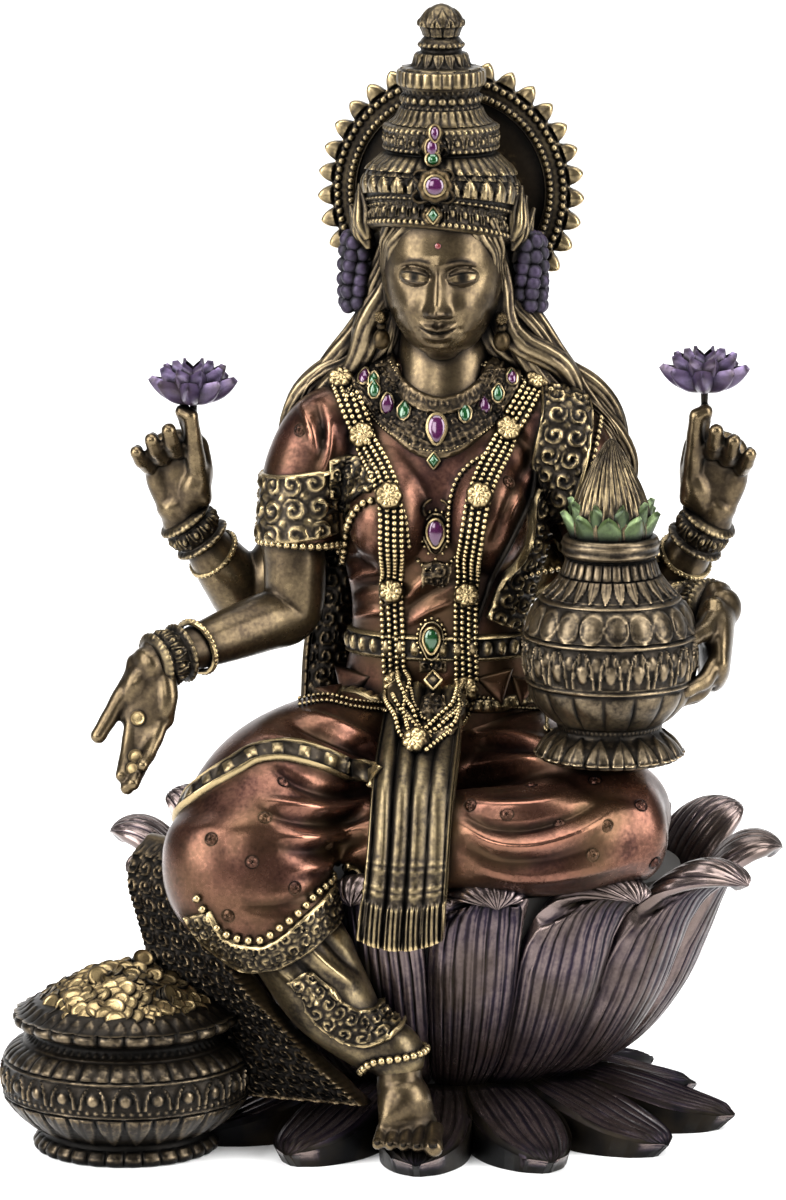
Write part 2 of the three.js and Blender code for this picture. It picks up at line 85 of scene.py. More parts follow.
def makeCamera():
    data = bpy.data.cameras.new("photoCamera")
    data.sensor_fit = "VERTICAL"
    data.sensor_height = 36.0
    data.lens = data.sensor_height * camFocal / picture["height"]
    data.clip_start, data.clip_end = 0.01, 20.0
    camera = bpy.data.objects.new("photoCamera", data)
    bpy.context.scene.collection.objects.link(camera)
    camera.location = Vector(camPlace * mm)
    camera.rotation_euler = Vector(camBack).to_track_quat("Z", "Y").to_euler()
    bpy.context.scene.camera = camera


makeCamera()


# meshes
def unit(v):
    v = np.asarray(v, float)
    return v / (np.linalg.norm(v, axis=-1, keepdims=True) + 1e-12)


def clamp(x):
    return np.clip(x, 0, 1)


def hump(x, width):
    return np.exp(-((x / width) ** 2))


def dome(q):
    return np.sqrt(np.clip(1 - q, 0, 1))


# a smooth step from 0 at low to 1 at high
def sized(low, high, v):
    t = clamp((v - low) / (high - low))
    return t * t * (3 - 2 * t)


def meshObject(name, verts, faces):
    mesh = bpy.data.meshes.new(name)
    mesh.from_pydata((np.asarray(verts, float) * mm).tolist(), [], [list(f) for f in faces])
    obj = bpy.data.objects.new(name, mesh)
    bpy.context.scene.collection.objects.link(obj)
    return obj


def vertsOf(obj):
    co = np.empty(len(obj.data.vertices) * 3)
    obj.data.vertices.foreach_get("co", co)
    return co.reshape(-1, 3) / mm


def moveVerts(obj, co):
    obj.data.vertices.foreach_set("co", (co * mm).ravel())
    obj.data.update()


def normalsOf(obj):
    n = np.empty(len(obj.data.vertices) * 3)
    obj.data.vertices.foreach_get("normal", n)
    return n.reshape(-1, 3)


def edgesOf(obj):
    e = np.empty(len(obj.data.edges) * 2, np.int64)
    obj.data.edges.foreach_get("vertices", e)
    return e.reshape(-1, 2)


def pickOnly(obj):
    for other in bpy.context.selected_objects:
        other.select_set(False)
    obj.select_set(True)
    bpy.context.view_layer.objects.active = obj


def mend(obj, gap=0.004):
    pickOnly(obj)
    bpy.ops.object.mode_set(mode="EDIT")
    bpy.ops.mesh.select_all(action="SELECT")
    bpy.ops.mesh.remove_doubles(threshold=gap * mm)
    bpy.ops.mesh.normals_make_consistent(inside=False)
    bpy.ops.object.mode_set(mode="OBJECT")
    return obj


def smoothed(co, edges, passes):
    count = np.bincount(edges.ravel(), minlength=len(co)).clip(1)
    for _ in range(passes):
        total = np.stack(
            [
                np.bincount(edges[:, 0], co[edges[:, 1], k], len(co))
                + np.bincount(edges[:, 1], co[edges[:, 0], k], len(co))
                for k in range(co.shape[1])
            ],
            1,
        )
        co = 0.5 * co + 0.5 * total / count[:, None]
    return co


# how far each point stands proud of the surface round it: read by the metal as wear and patina; add is laid on
# top of it, and on some pieces carries painted shade
def markRelief(obj, passes=10, scale=0.35, add=None):
    co, normals, edges = vertsOf(obj), normalsOf(obj), edgesOf(obj)
    proud = np.einsum("ij,ij->i", co - smoothed(co, edges, passes), normals) / scale
    proud = smoothed(np.clip(proud, -1, 1)[:, None], edges, 1)[:, 0]
    if add is not None:
        proud = proud + add
    writeRelief(obj, proud)


def writeRelief(obj, values):
    layer = obj.data.attributes.get("relief") or obj.data.attributes.new("relief", "FLOAT", "POINT")
    layer.data.foreach_set("value", np.clip(values, -1, 1).astype(np.float32))


# curves through points, by length, with the sizes carried along
def splineAt(knots, values, t):
    knots, values = np.asarray(knots, float), np.asarray(values, float)
    slope = np.gradient(values, knots, axis=0)
    i = np.clip(np.searchsorted(knots, t, side="right") - 1, 0, len(knots) - 2)
    h = (knots[i + 1] - knots[i])[:, None]
    s = ((t - knots[i])[:, None]) / h
    a, b, ma, mb = values[i], values[i + 1], slope[i] * h, slope[i + 1] * h
    return (
        (2 * s**3 - 3 * s**2 + 1) * a + (s**3 - 2 * s**2 + s) * ma + (3 * s**2 - 2 * s**3) * b
        + (s**3 - s**2) * mb
    )


def pathOf(points, count):
    points = np.asarray(points, float)
    knots = np.concatenate([[0], np.cumsum(np.linalg.norm(np.diff(points[:, :3], axis=0), axis=1) ** 0.6)])
    fine = splineAt(knots, points, np.linspace(0, knots[-1], 400))
    length = np.concatenate([[0], np.cumsum(np.linalg.norm(np.diff(fine[:, :3], axis=0), axis=1))])
    want = np.linspace(0, length[-1], count)
    return np.stack([np.interp(want, length, fine[:, k]) for k in range(fine.shape[1])], 1), length[-1]


def ringFaces(rings, sides, closed=True):
    i, j = np.meshgrid(np.arange(rings - 1), np.arange(sides if closed else sides - 1), indexing="ij")
    a, b = i * sides + j, i * sides + (j + 1) % sides
    return np.stack([a, b, b + sides, a + sides], -1).reshape(-1, 4).tolist()


# the two end caps of a stack of rings: a fan from each tip, over the first ring and the ring that starts at top
def fans(first, last, top, sides):
    start = [[first, (j + 1) % sides, j] for j in range(sides)]
    return start + [[last, top + j, top + (j + 1) % sides] for j in range(sides)]


# a slab between two grids of points, closed round its rim
def closedSheet(top, low):
    n, m = top.shape[:2]
    verts = np.concatenate([top.reshape(-1, 3), low.reshape(-1, 3)])
    faces = ringFaces(n, m, closed=False)
    count = n * m
    faces += [[count + a for a in f[::-1]] for f in faces]
    rim = list(range(m)) + [m * (i + 1) - 1 for i in range(1, n)]
    rim += [count - 1 - j for j in range(1, m)] + [m * i for i in range(n - 2, 0, -1)]
    for a, b in zip(rim, rim[1:] + rim[:1]):
        faces.append([count + a, count + b, b, a])
    return verts, faces


# a limb, lock or fold: sections are (x, y, z, half width, half depth); swell(t, angle) stands out of it in mm
def limb(sections, sides=32, rings=40, facing=(0, 1, 0), round=0.6, swell=None):
    sections = [tuple(s) + (s[3],) if len(s) == 4 else tuple(s) for s in sections]
    path, _ = pathOf(sections, rings)
    along = unit(np.gradient(path[:, :3], axis=0))
    wide = unit(np.cross(along, np.asarray(facing, float)))
    deep = np.cross(wide, along)
    caps = 5
    bend = np.linspace(0, math.pi / 2, caps + 1)[1:-1]
    rows = []
    for a in bend[::-1]:
        rows.append((path[0, :3] - along[0] * path[0, 3] * round * math.sin(a), 0, math.cos(a)))
    rows += [(path[i, :3], i, 1.0) for i in range(rings)]
    for a in bend:
        rows.append((path[-1, :3] + along[-1] * path[-1, 3] * round * math.sin(a), rings - 1, math.cos(a)))
    angle = np.arange(sides) / sides * turn
    verts = []
    for middle, i, share in rows:
        extra = swell(i / (rings - 1), angle) * share if swell else 0
        across = np.cos(angle) * (path[i, 3] * share + extra)
        through = np.sin(angle) * (path[i, 4] * share + extra)
        verts.append(middle + across[:, None] * wide[i] + through[:, None] * deep[i])
    faces = ringFaces(len(rows), sides)
    verts = np.concatenate(verts)
    first, last = len(verts), len(verts) + 1
    ends = [path[0, :3] - along[0] * path[0, 3] * round, path[-1, :3] + along[-1] * path[-1, 3] * round]
    verts = np.concatenate([verts, ends])
    faces += fans(first, last, (len(rows) - 1) * sides, sides)
    return verts, faces


def ball(middle, size, sides=24, rings=16):
    a, b = np.meshgrid(
        np.linspace(0, math.pi, rings + 1)[1:-1], np.arange(sides) / sides * turn, indexing="ij"
    )
    verts = np.stack([np.sin(a) * np.cos(b), np.sin(a) * np.sin(b), np.cos(a)], -1).reshape(-1, 3)
    verts = np.concatenate([verts, [[0, 0, 1], [0, 0, -1]]])
    faces = ringFaces(rings - 1, sides)
    n = len(verts)
    faces += fans(n - 2, n - 1, (rings - 2) * sides, sides)
    return verts * np.asarray(size, float) + np.asarray(middle, float), faces


def gathered(parts):
    verts, faces, start = [], [], 0
    for v, f in parts:
        verts.append(v)
        faces += [[i + start for i in face] for face in f]
        start += len(v)
    return np.concatenate(verts), faces


# forms joined into one skin, as in a wax model
def fuse(name, parts, voxel=0.6, soften=4):
    obj = mend(meshObject(name, *gathered(parts)), 0.0001)
    remesh = obj.modifiers.new("skin", "REMESH")
    remesh.mode, remesh.voxel_size, remesh.use_smooth_shade = "VOXEL", voxel * mm, True
    pickOnly(obj)
    bpy.ops.object.modifier_apply(modifier=remesh.name)
    if soften:
        co = smoothed(vertsOf(obj), edgesOf(obj), soften)
        moveVerts(obj, co)
    return obj


# a turned form: profile rows are (radius, height); wave(angle, height, radius) stands out of it in mm
def turned(profile, at, sides=144, rows=120, wave=None):
    path, _ = pathOf([(r, h, 0.0) for r, h in profile], rows)
    angle = np.arange(sides) / sides * turn
    a, r = np.meshgrid(angle, path[:, 0])
    z = np.repeat(path[:, 1:2], sides, 1)
    if wave:
        r = r + wave(a, z, r)
    verts = np.stack([r * np.cos(a) + at[0], r * np.sin(a) + at[1], z + at[2]], -1).reshape(-1, 3)
    faces = ringFaces(rows, sides)
    n = len(verts)
    verts = np.concatenate([verts, [[at[0], at[1], path[0, 1] + at[2]], [at[0], at[1], path[-1, 1] + at[2]]]])
    faces += fans(n, n + 1, (rows - 1) * sides, sides)
    return verts, faces


def cast(name, form, gap=0.001):
    return mend(meshObject(name, *form), gap)


# materials
def linear(hexColour):
    values = [int(hexColour[i : i + 2], 16) / 255 for i in (1, 3, 5)]
    return tuple(v / 12.92 if v <= 0.04045 else ((v + 0.055) / 1.055) ** 2.4 for v in values) + (1.0,)


def addNode(tree, kind, settings=None, **links):
    node = tree.nodes.new(kind)
    for key, value in (settings or {}).items():
        if key in node.inputs:
            node.inputs[key].default_value = value
        else:
            setattr(node, key, value)
    for key, source in links.items():
        tree.links.new(
            source, node.inputs[int(key[1:])] if key[1:].isdigit() else node.inputs[key.replace("_", " ")]
        )
    return node


def mapped(tree, value, low, high, toLow=0.0, toHigh=1.0):
    ends = {"From Min": low, "From Max": high, "To Min": toLow, "To Max": toHigh}
    return addNode(tree, "ShaderNodeMapRange", ends, Value=value).outputs[0]


def added(tree, first, second):
    return addNode(tree, "ShaderNodeMath", {"operation": "ADD"}, _0=first, _1=second).outputs[0]


# cold-cast bronze: resin with bronze powder, washed with dark patina and rubbed back on the raised work; an
# occlusion term also darkens the colour in recesses, under things and between parts as painted shade
def castFinish(name, dark, middle, light, metallic=0.9, roughness=0.42, grain=0.05, tint=None, tintSize=9.0):
    material = bpy.data.materials.new(name)
    material.use_nodes = True
    tree = material.node_tree
    shader = tree.nodes["Principled BSDF"]
    coords = addNode(tree, "ShaderNodeTexCoord").outputs["Object"]
    relief = addNode(tree, "ShaderNodeAttribute", {"attribute_name": "relief"}).outputs["Fac"]
    cloud = addNode(
        tree, "ShaderNodeTexNoise", {"Scale": 1000 / 7.0, "Detail": 4.0, "Roughness": 0.6}, Vector=coords
    )
    fine = addNode(tree, "ShaderNodeTexNoise", {"Scale": 1000 / 0.9, "Detail": 2.0}, Vector=coords)
    # ambient occlusion darkens the colour where the surface is hemmed in: patina in the hollows, and painted
    # shade under and between parts
    hollowShade = addNode(tree, "ShaderNodeAmbientOcclusion", {"samples": 6, "Distance": 2.6 * mm}).outputs["AO"]
    step = added(tree, relief, mapped(tree, hollowShade, 0.38, 0.98, -1.15, 0.12))
    step = added(tree, step, mapped(tree, cloud.outputs["Fac"], 0.3, 0.7, -0.16, 0.16))
    step = added(tree, step, mapped(tree, fine.outputs["Fac"], 0.3, 0.7, -0.1, 0.1))
    wearAndShade = mapped(tree, step, -1.0, 1.0)
    ramp = addNode(tree, "ShaderNodeValToRGB", Fac=wearAndShade)
    stops = ramp.color_ramp.elements
    stops[0].position, stops[0].color = 0.12, linear(dark)
    stops[1].position, stops[1].color = 0.9, linear(light)
    stops.new(0.5).color = linear(middle)
    colour = ramp.outputs["Color"]
    if tint:
        patch = addNode(tree, "ShaderNodeTexNoise", {"Scale": 1000 / tintSize, "Detail": 3.0}, Vector=coords)
        reach = mapped(tree, patch.outputs["Fac"], 0.42, 0.66, 0.0, 0.55)
        glaze = addNode(tree, "ShaderNodeMix", {"data_type": "RGBA"}, _0=reach, _6=colour)
        glaze.inputs[7].default_value = linear(tint)
        colour = glaze.outputs[2]
    tree.links.new(colour, shader.inputs["Base Color"])
    rub = mapped(tree, wearAndShade, 0.1, 0.85, roughness + 0.2, roughness - 0.08)
    tree.links.new(rub, shader.inputs["Roughness"])
    shader.inputs["Metallic"].default_value = metallic
    bump = addNode(
        tree, "ShaderNodeBump", {"Strength": 0.35, "Distance": grain * mm}, Height=fine.outputs["Fac"]
    )
    tree.links.new(bump.outputs[0], shader.inputs["Normal"])
    return material


# painted stones: a glossy transparent lacquer over the metal
def stoneFinish(name, colour, roughness=0.16):
    material = bpy.data.materials.new(name)
    material.use_nodes = True
    tree = material.node_tree
    shader = tree.nodes["Principled BSDF"]
    relief = addNode(tree, "ShaderNodeAttribute", {"attribute_name": "relief"}).outputs["Fac"]
    ramp = addNode(tree, "ShaderNodeValToRGB", Fac=mapped(tree, relief, -1.0, 1.0))
    base = linear(colour)
    ramp.color_ramp.elements[0].color = tuple(c * 0.25 for c in base[:3]) + (1,)
    ramp.color_ramp.elements[1].color = base
    tree.links.new(ramp.outputs["Color"], shader.inputs["Base Color"])
    shader.inputs["Metallic"].default_value = 0.35
    shader.inputs["Roughness"].default_value = roughness
    shader.inputs["Coat Weight"].default_value = 0.6
    shader.inputs["Coat Roughness"].default_value = 0.08
    return material


# yellow bronze on raised work, umber in the hollows
bronze = castFinish("rubbedBronze", "#040302", "#28221b", "#94825f", roughness=0.32)
# hands, arms and face, smoother than the cloth
skinBronze = castFinish("polishedBronze", "#060503", "#32291e", "#746449", roughness=0.28, grain=0.02)
# red glaze over bronze on the cloth
copperCloth = castFinish(
    "copperTintedBronze", "#050202", "#2b1813", "#7d5646", roughness=0.27, tint="#42321f", tintSize=18.0
)
# violet glaze over bronze on the lotus
violetPetals = castFinish(
    "violetTintedBronze", "#030304", "#1f1824", "#6c5f5c", roughness=0.33, tint="#2b2317", tintSize=13.0
)
# stronger violet on the held flowers
violetBloom = castFinish(
    "violetBloomGlaze", "#06050a", "#221a2e", "#544663", metallic=0.6, roughness=0.38, tint="#2c2119",
    tintSize=5.0
)
# garland and coins, picked out in pale gold
paleGold = castFinish("rubbedGold", "#080604", "#3e321f", "#b8a276", roughness=0.31)
# mango leaves
leafGreen = castFinish("greenTintedBronze", "#040503", "#192410", "#55653c", metallic=0.6, roughness=0.36)
redStone = stoneFinish("redVioletLacquer", "#4a1542")
greenStone = stoneFinish("greenLacquer", "#114a20")
# the coins, less rubbed than the garland
coinGold = castFinish("dullGold", "#080603", "#4a3d28", "#b29c70", roughness=0.32)
# the two pots, with more of the dark wash left on
potBronze = castFinish("potBronze", "#040302", "#1e1913", "#82725a", roughness=0.33)
# plain hollows and the seat: a darker umber, which is painted shade on the pieces that sit in shade
umberAndShade = castFinish("umberWash", "#040302", "#17120d", "#5f513c", roughness=0.42)

# unpolished seat inside the petals, near black as painted shade where it shows between and over the petals
matteUmber = castFinish("matteUmber", "#040302", "#0d0a08", "#1c1712", metallic=0.1, roughness=0.75)


def place(obj, material, passes=None, scale=0.35, smooth=True):
    obj.data.materials.clear()
    obj.data.materials.append(material)
    if smooth:
        pickOnly(obj)
        bpy.ops.object.shade_smooth_by_angle(angle=math.radians(50))
    if passes:
        markRelief(obj, passes, scale)
    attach(obj, "root")
    return obj


report("lotus throne")
lotusSet = {
    "petals": 14,
    "rim": (76.0, 47.0),
    "base": (69.0, 64.0),
    "ribs": 9,
    "ribDepth": 0.42,
}


def ovalAngles(half, count):
    fine = np.linspace(0, turn, 2001)
    step = np.hypot(half[0] * np.sin(fine), half[1] * np.cos(fine))
    length = np.concatenate([[0], np.cumsum((step[1:] + step[:-1]) / 2)])
    return np.interp(np.arange(count) / count * length[-1], length, fine)


# one petal: rows along it are (share, half width, half depth of the oval, height, width share)
def petalShell(
    middle, spread, rows, across=41, along=56, bulge=2.2, thickness=3.0, ribs=9, ribDepth=0.4, floor=None,
    seed=0, rimRise=0.0, sweep=0.0, arch=0.0
):
    rows = np.asarray(rows, float)
    v = np.linspace(0, 1, along)
    shape = splineAt(rows[:, 0], rows[:, 1:], v)
    u = np.linspace(-1, 1, across)
    uu, vv = np.meshgrid(u, v)
    width = np.clip(shape[:, 3:4], 0.02, None)
    angle = middle + uu * width * spread / 2 + sweep * clamp((vv - 0.62) / 0.38) ** 1.5
    a, b, z = (np.repeat(shape[:, k : k + 1], across, 1) for k in range(3))
    z = z - arch * (uu * width) ** 2 * clamp((vv - 0.5) / 0.35)
    points = np.stack([a * np.cos(angle), b * np.sin(angle), z], -1)
    lengthwise = np.gradient(points, axis=0)
    sideways = np.gradient(points, axis=1)
    out = unit(np.cross(sideways, lengthwise))
    phase = 0.35 * np.sin(3.1 * vv + seed) + 0.22 * np.sin(7 * vv + 1.7 * seed)
    groove = lambda f: hump((f % 1.0) - 0.5, 0.11)
    rib = 1 - groove(uu * ribs / 2 + 0.3 * phase * uu + 0.1 * seed)
    fineRib = 1 - 0.8 * groove(uu * ribs + 0.25 * np.sin(5 * vv + seed) + 0.25)
    fade = clamp(np.minimum(vv * 8, (1 - vv) * 12))
    lift = (
        bulge * np.sin(clamp(vv * 1.1 + 0.1) * math.pi * 0.75) * dome(uu**2 * 0.96)
        + ribDepth * (rib + 0.45 * fineRib) * fade
    )
    atTip = clamp((vv - 0.86) / 0.12)
    lift += rimRise * np.maximum(hump(np.abs(uu) - 0.94, 0.07) + 0.5 * uu**2, atTip) * clamp(vv * 4)
    outer = points + out * lift[..., None]
    curled = clamp((vv - 0.66) * 8) * (floor is None)
    inner = (
        points
        - out
        * (
            thickness * (1 - 0.35 * vv) * (1 - 0.75 * uu**4) * (1 - 0.8 * clamp((vv - 0.84) / 0.16) ** 2)
            + curled * ribDepth * (rib + 0.45 * fineRib)
        )[..., None]
    )
    if floor is not None:
        inner = outer.copy()
        inner[..., 2] = floor
        inner[..., :2] *= 0.985 - 0.035 * vv[..., None]
        outer[..., 2] = np.maximum(outer[..., 2], floor + 0.4)
    return closedSheet(outer, inner)


def lotusThrone():
    w, d = lotusSet["rim"]
    standing = [
        (0.0, w * 0.4, d * 0.54, 10.6, 0.9),
        (0.16, w * 0.54, d * 0.65, 19.0, 0.95),
        (0.36, w * 0.655, d * 0.75, 32.0, 0.97),
        (0.54, w * 0.72, d * 0.82, 44.0, 0.95),
        (0.67, w * 0.765, d * 0.855, 52.0, 0.9),
        (0.76, w * 0.81, d * 0.885, 57.4, 0.84),
        (0.83, w * 0.865, d * 0.93, 60.4, 0.74),
        (0.9, w * 0.92, d * 0.965, 60.4, 0.58),
        (0.955, w * 0.96, d * 0.988, 58.6, 0.36),
        (0.985, w * 0.975, d * 0.993, 57.2, 0.17),
        (1.0, w * 0.982, d * 0.995, 56.2, 0.02),
    ]
    petals = lotusSet["petals"]
    angles = ovalAngles((w, d), petals)
    parts = []
    for i, middle in enumerate(angles):
        spread = (np.append(angles, turn)[i + 1] - (angles[i - 1] if i else angles[-1] - turn)) / 2
        # the side and back petals end higher than the front ones
        risen = 8 * sized(-0.55, 0.5, math.sin(middle))
        rows = [
            (v, a, b, z + risen * max(0, (v - 0.7) / 0.3) ** 1.3, share) for v, a, b, z, share in standing
        ]
        sweep = 0.16 * math.cos(middle) * (math.sin(middle) < -0.1)
        look = {
            "ribs": lotusSet["ribs"], "ribDepth": 0.8 * lotusSet["ribDepth"], "bulge": 4.6, "thickness": 2.6
        }
        parts.append(
            petalShell(middle, spread * 1.02, rows, 61, 64, sweep=sweep, arch=8.5, seed=i * 1.3, **look)
        )
    place(
        mend(meshObject("standingPetals", *gathered(parts))), violetPetals, passes=5,
        scale=0.16
    )
    w, d = lotusSet["base"]
    lying = [
        (0.0, w * 0.44, d * 0.42, 12.4, 0.98),
        (0.2, w * 0.55, d * 0.54, 12.2, 1.04),
        (0.45, w * 0.7, d * 0.69, 10.2, 0.94),
        (0.66, w * 0.82, d * 0.82, 8.0, 0.74),
        (0.82, w * 0.91, d * 0.91, 6.6, 0.5),
        (0.93, w * 0.97, d * 0.97, 5.6, 0.27),
        (1.0, w, d, 4.8, 0.05),
    ]
    angles = ovalAngles((w, d), petals * 2)[1::2]
    parts = []
    for i, middle in enumerate(angles):
        short = 1 - 0.16 * float(np.interp(math.sin(middle), [-0.3, -0.2, 0.1, 0.2], [0, 0.1, 0.9, 1]))
        rows = []
        for v, a, b, z, share in lying:
            reach = short if v > 0.1 else 1
            rows.append((v, a * reach, b * reach, z, share))
        look = {"ribs": 7, "ribDepth": 0.45, "bulge": 0.7, "rimRise": 1.3}
        parts.append(
            petalShell(middle, turn / petals * 1.02, rows, 53, 48, floor=0.0, seed=i * 2.1 + 0.5, **look)
        )
    lying = mend(meshObject("lyingPetals", *gathered(parts)))
    place(lying, violetPetals)
    # painted shade: the petals' steep side walls are darkened and their tops lightened, by which way the
    # surface faces
    markRelief(lying, 5, 0.16, add=0.36 - 1.4 * (1 - np.abs(normalsOf(lying)[:, 2])) ** 0.8)
    sides, rows, reach = 96, [], lotusSet["rim"][0]
    for share, z in [
        (0.3, 0.0), (0.3, 8.0), (0.36, 12.0), (0.48, 18.0), (0.6, 28.0), (0.67, 42.0), (0.7, 52.0),
        (0.69, 56.5), (0.35, 58.5)
    ]:
        a = np.arange(sides) / sides * turn
        depth = min(share * reach * (1 if share < 0.42 else 0.78), 39.0)
        rows.append(np.stack([share * reach * np.cos(a), depth * np.sin(a), np.full(sides, z)], -1))
    verts = np.concatenate(rows + [np.array([[0, 0, 0], [0, 0, 58.5]])])
    faces = ringFaces(len(rows), sides)
    n = len(rows) * sides
    faces += fans(n, n + 1, n - sides, sides)
    core = mend(meshObject("lotusSeat", verts, faces))
    place(core, matteUmber, passes=4)


lotusThrone()


# patterns cast into the metal: each gives 0 to 1 over unrolled millimetres or over a cell
def scrolls(x, y, size):
    cx, cy = np.floor(x / size), np.floor(y / size)
    flip = np.where((cx + cy) % 2 > 0, -1.0, 1.0)
    u, v = (x / size - cx - 0.5) * 2, (y / size - cy - 0.5) * 2 * flip
    r, a = np.hypot(u, v), np.arctan2(v, u)
    coil = (0.5 + 0.5 * np.cos(turn * 1.3 * r - a)) ** 1.4 * clamp((0.98 - r) * 8)
    bud = np.exp(-((np.abs(u) - 1) ** 2 + (np.abs(v) - 1) ** 2) / 0.07)
    return clamp(coil + bud)


def arches(u, v):
    half = dome(clamp(v) ** 1.7) * 0.9 + 0.02
    rim = hump((np.abs(u) / half) - 0.86, 0.13)
    heart = np.sqrt(clamp(1 - (u / 0.42) ** 2 - ((v - 0.4) / 0.27) ** 2))
    return clamp(0.85 * rim + heart) * ((v > 0) & (v < 1))


def leaves(u, v):
    half = clamp(1 - clamp(v) ** 2.2) * 0.94 + 0.02
    q = np.abs(u) / half
    body = dome(q**2) + 0.25 * hump(q - 0.84, 0.1) - 0.22 * hump(u, 0.1)
    return clamp(body) * ((v > 0) & (v < 1))


def cells(angle, count):
    f = (angle / turn * count) % 1.0
    return f * 2 - 1


def beadBand(angle, z, r, count, level, radius):
    across = cells(angle, count) * turn * r / count / 2
    return np.sqrt(np.clip(radius**2 - across**2 - (z - level) ** 2, 0, None))


def within(z, low, high):
    return ((z > low) & (z < high)).astype(float)


def share(z, low, high):
    return (z - low) / (high - low)


def flutes(u, v=0):
    return dome(u**2)


# a row of one pattern round a turned form, between two heights
def rowOf(shape, a, z, count, low, high, hanging=False):
    v = share(z, low, high)
    return shape(cells(a, count), 1 - v if hanging else v) * within(z, low, high)


def bumpAt(x, z, cx, cz, sx, sz):
    return np.exp(-(((x - cx) / sx) ** 2) - ((z - cz) / sz) ** 2)


def at(x, y, z):
    return (x, y, z + seat)


# a limb whose heights are measured from the lotus seat
def limbAt(rows, **more):
    return limb([(*at(*row[:3]), *row[3:]) for row in rows], **more)


report("body")


# a hand: reach runs from wrist to fingers, palm is the way that the palm faces, thumbSide is 1 or -1
def hand(wrist, reach, palm, thumbSide, fingers, grow=1.0):
    wrist, e = np.asarray(wrist, float), unit(reach)
    n = unit(np.asarray(palm, float) - e * np.dot(palm, e))
    a = np.cross(e, n) * thumbSide
    spot = lambda p: wrist + (e * p[0] + a * p[1] + n * p[2]) * grow
    parts = [
        limb(
            [
                (*spot((-3, 0, 0)), 4.1, 3.6), (*spot((2, 0.3, 0)), 4.8 * grow, 3.5 * grow),
                (*spot((7, 0.5, -0.1)), 6.3 * grow, 3.1 * grow),
                (*spot((12.5, 0, -0.3)), 6.3 * grow, 2.5 * grow)
            ],
            facing=n, sides=28
        ),
        # the ball of the thumb
        limb(
            [
                (*spot((1.5, 1.8, 0.8)), 2.8 * grow), (*spot((5.5, 3.4, 1.2)), 3.1 * grow),
                (*spot((9, 4.6, 0.8)), 2.3 * grow)
            ],
            sides=20, rings=20
        ),
        limb(
            [
                (*spot((2, -2, 0.8)), 2.5 * grow), (*spot((7, -3.8, 0.8)), 2.5 * grow),
                (*spot((11, -4.2, 0.3)), 2.0 * grow)
            ],
            sides=20, rings=20
        ),
    ]
    nails = []
    for base, length, bends, splay, width in fingers:
        length, width = length * grow, width * grow
        point, bend = spot(base), 0.0
        rows = [(*(point - e * 2.4), width * 1.05), (*point, width * 1.04)]
        for j, degrees in enumerate(bends):
            bend += math.radians(degrees)
            step = unit(e * math.cos(bend) + n * math.sin(bend) + a * splay)
            long = length * (0.42, 0.32, 0.26)[j]
            rows.append((*(point + step * long * 0.5), width * (0.95 - 0.06 * j)))
            point = point + step * long
            rows.append((*point, width * (0.98 - 0.07 * j)))
        parts.append(limb(rows, facing=a, sides=20, rings=34, round=0.9))
        outward = unit(e * -math.sin(bend) + n * math.cos(bend))
        nails.append((point - step * 0.8 - outward * width * 0.62, step, -outward, width))
    return parts, nails


def forearm(elbow, wrist, elbowRadius, wristRadius):
    elbow, wrist = np.asarray(elbow, float), np.asarray(wrist, float)
    way = unit(elbow - wrist)
    return [
        (*elbow, elbowRadius),
        (*(elbow - way * 7), elbowRadius * 0.98),
        (*((elbow + wrist) / 2), (elbowRadius + wristRadius) / 2 + 0.3),
        (*(wrist + way * 8), wristRadius + 0.4),
        (*(wrist + way * 2), wristRadius),
        (*(wrist - way * 3), wristRadius * 0.98),
    ]


givingElbow, givingWrist = at(-34, -4, 50.5), at(-60.5, -27, 43.6)
givingFingers = [
    ((12.0, 3.2, -0.2), 15.2, (6, 12, 12), -0.07, 1.85),
    ((12.6, 0.9, -0.3), 17.0, (4, 10, 14), -0.02, 1.9),
    ((12.2, -1.5, -0.3), 16.6, (6, 12, 16), 0.04, 1.85),
    ((11.2, -3.8, -0.2), 14.0, (10, 16, 18), 0.1, 1.65),
    ((3.4, 4.4, 0.6), 16.0, (4, -2, 6), 0.34, 2.2),
]
raisedFingers = [
    ((12, 3.7, -0.3), 10.0, (18, 12, 8), -0.12, 1.85),
    ((12.2, 1.0, -0.3), 10.4, (78, -30, -26), -0.06, 1.8),
    ((11.0, -1.8, -0.3), 10.2, (80, -28, -24), -0.12, 1.75),
    ((9.2, -4.3, -0.3), 9.6, (80, -24, -22), -0.2, 1.6),
    ((5, 4.6, 1.2), 15.4, (16, -4, -6), -0.04, 1.95),
]
holdingFingers = [
    ((12, 3.9, 0), 13.5, (26, 28, 24), 0.05, 1.7),
    ((12.5, 1.3, 0), 14.5, (28, 32, 26), 0.0, 1.75),
    ((12, -1.4, 0), 14, (30, 34, 26), -0.03, 1.7),
    ((11, -4, 0), 12, (34, 36, 28), -0.08, 1.55),
    ((4, 4.4, 1.2), 12.5, (26, 18, 12), 0.45, 1.95),
]
potAxis = np.array(at(38.5, -25, 24))
cuffs = []  # where bracelets go: wrist, way to the elbow, radius
handNails = []


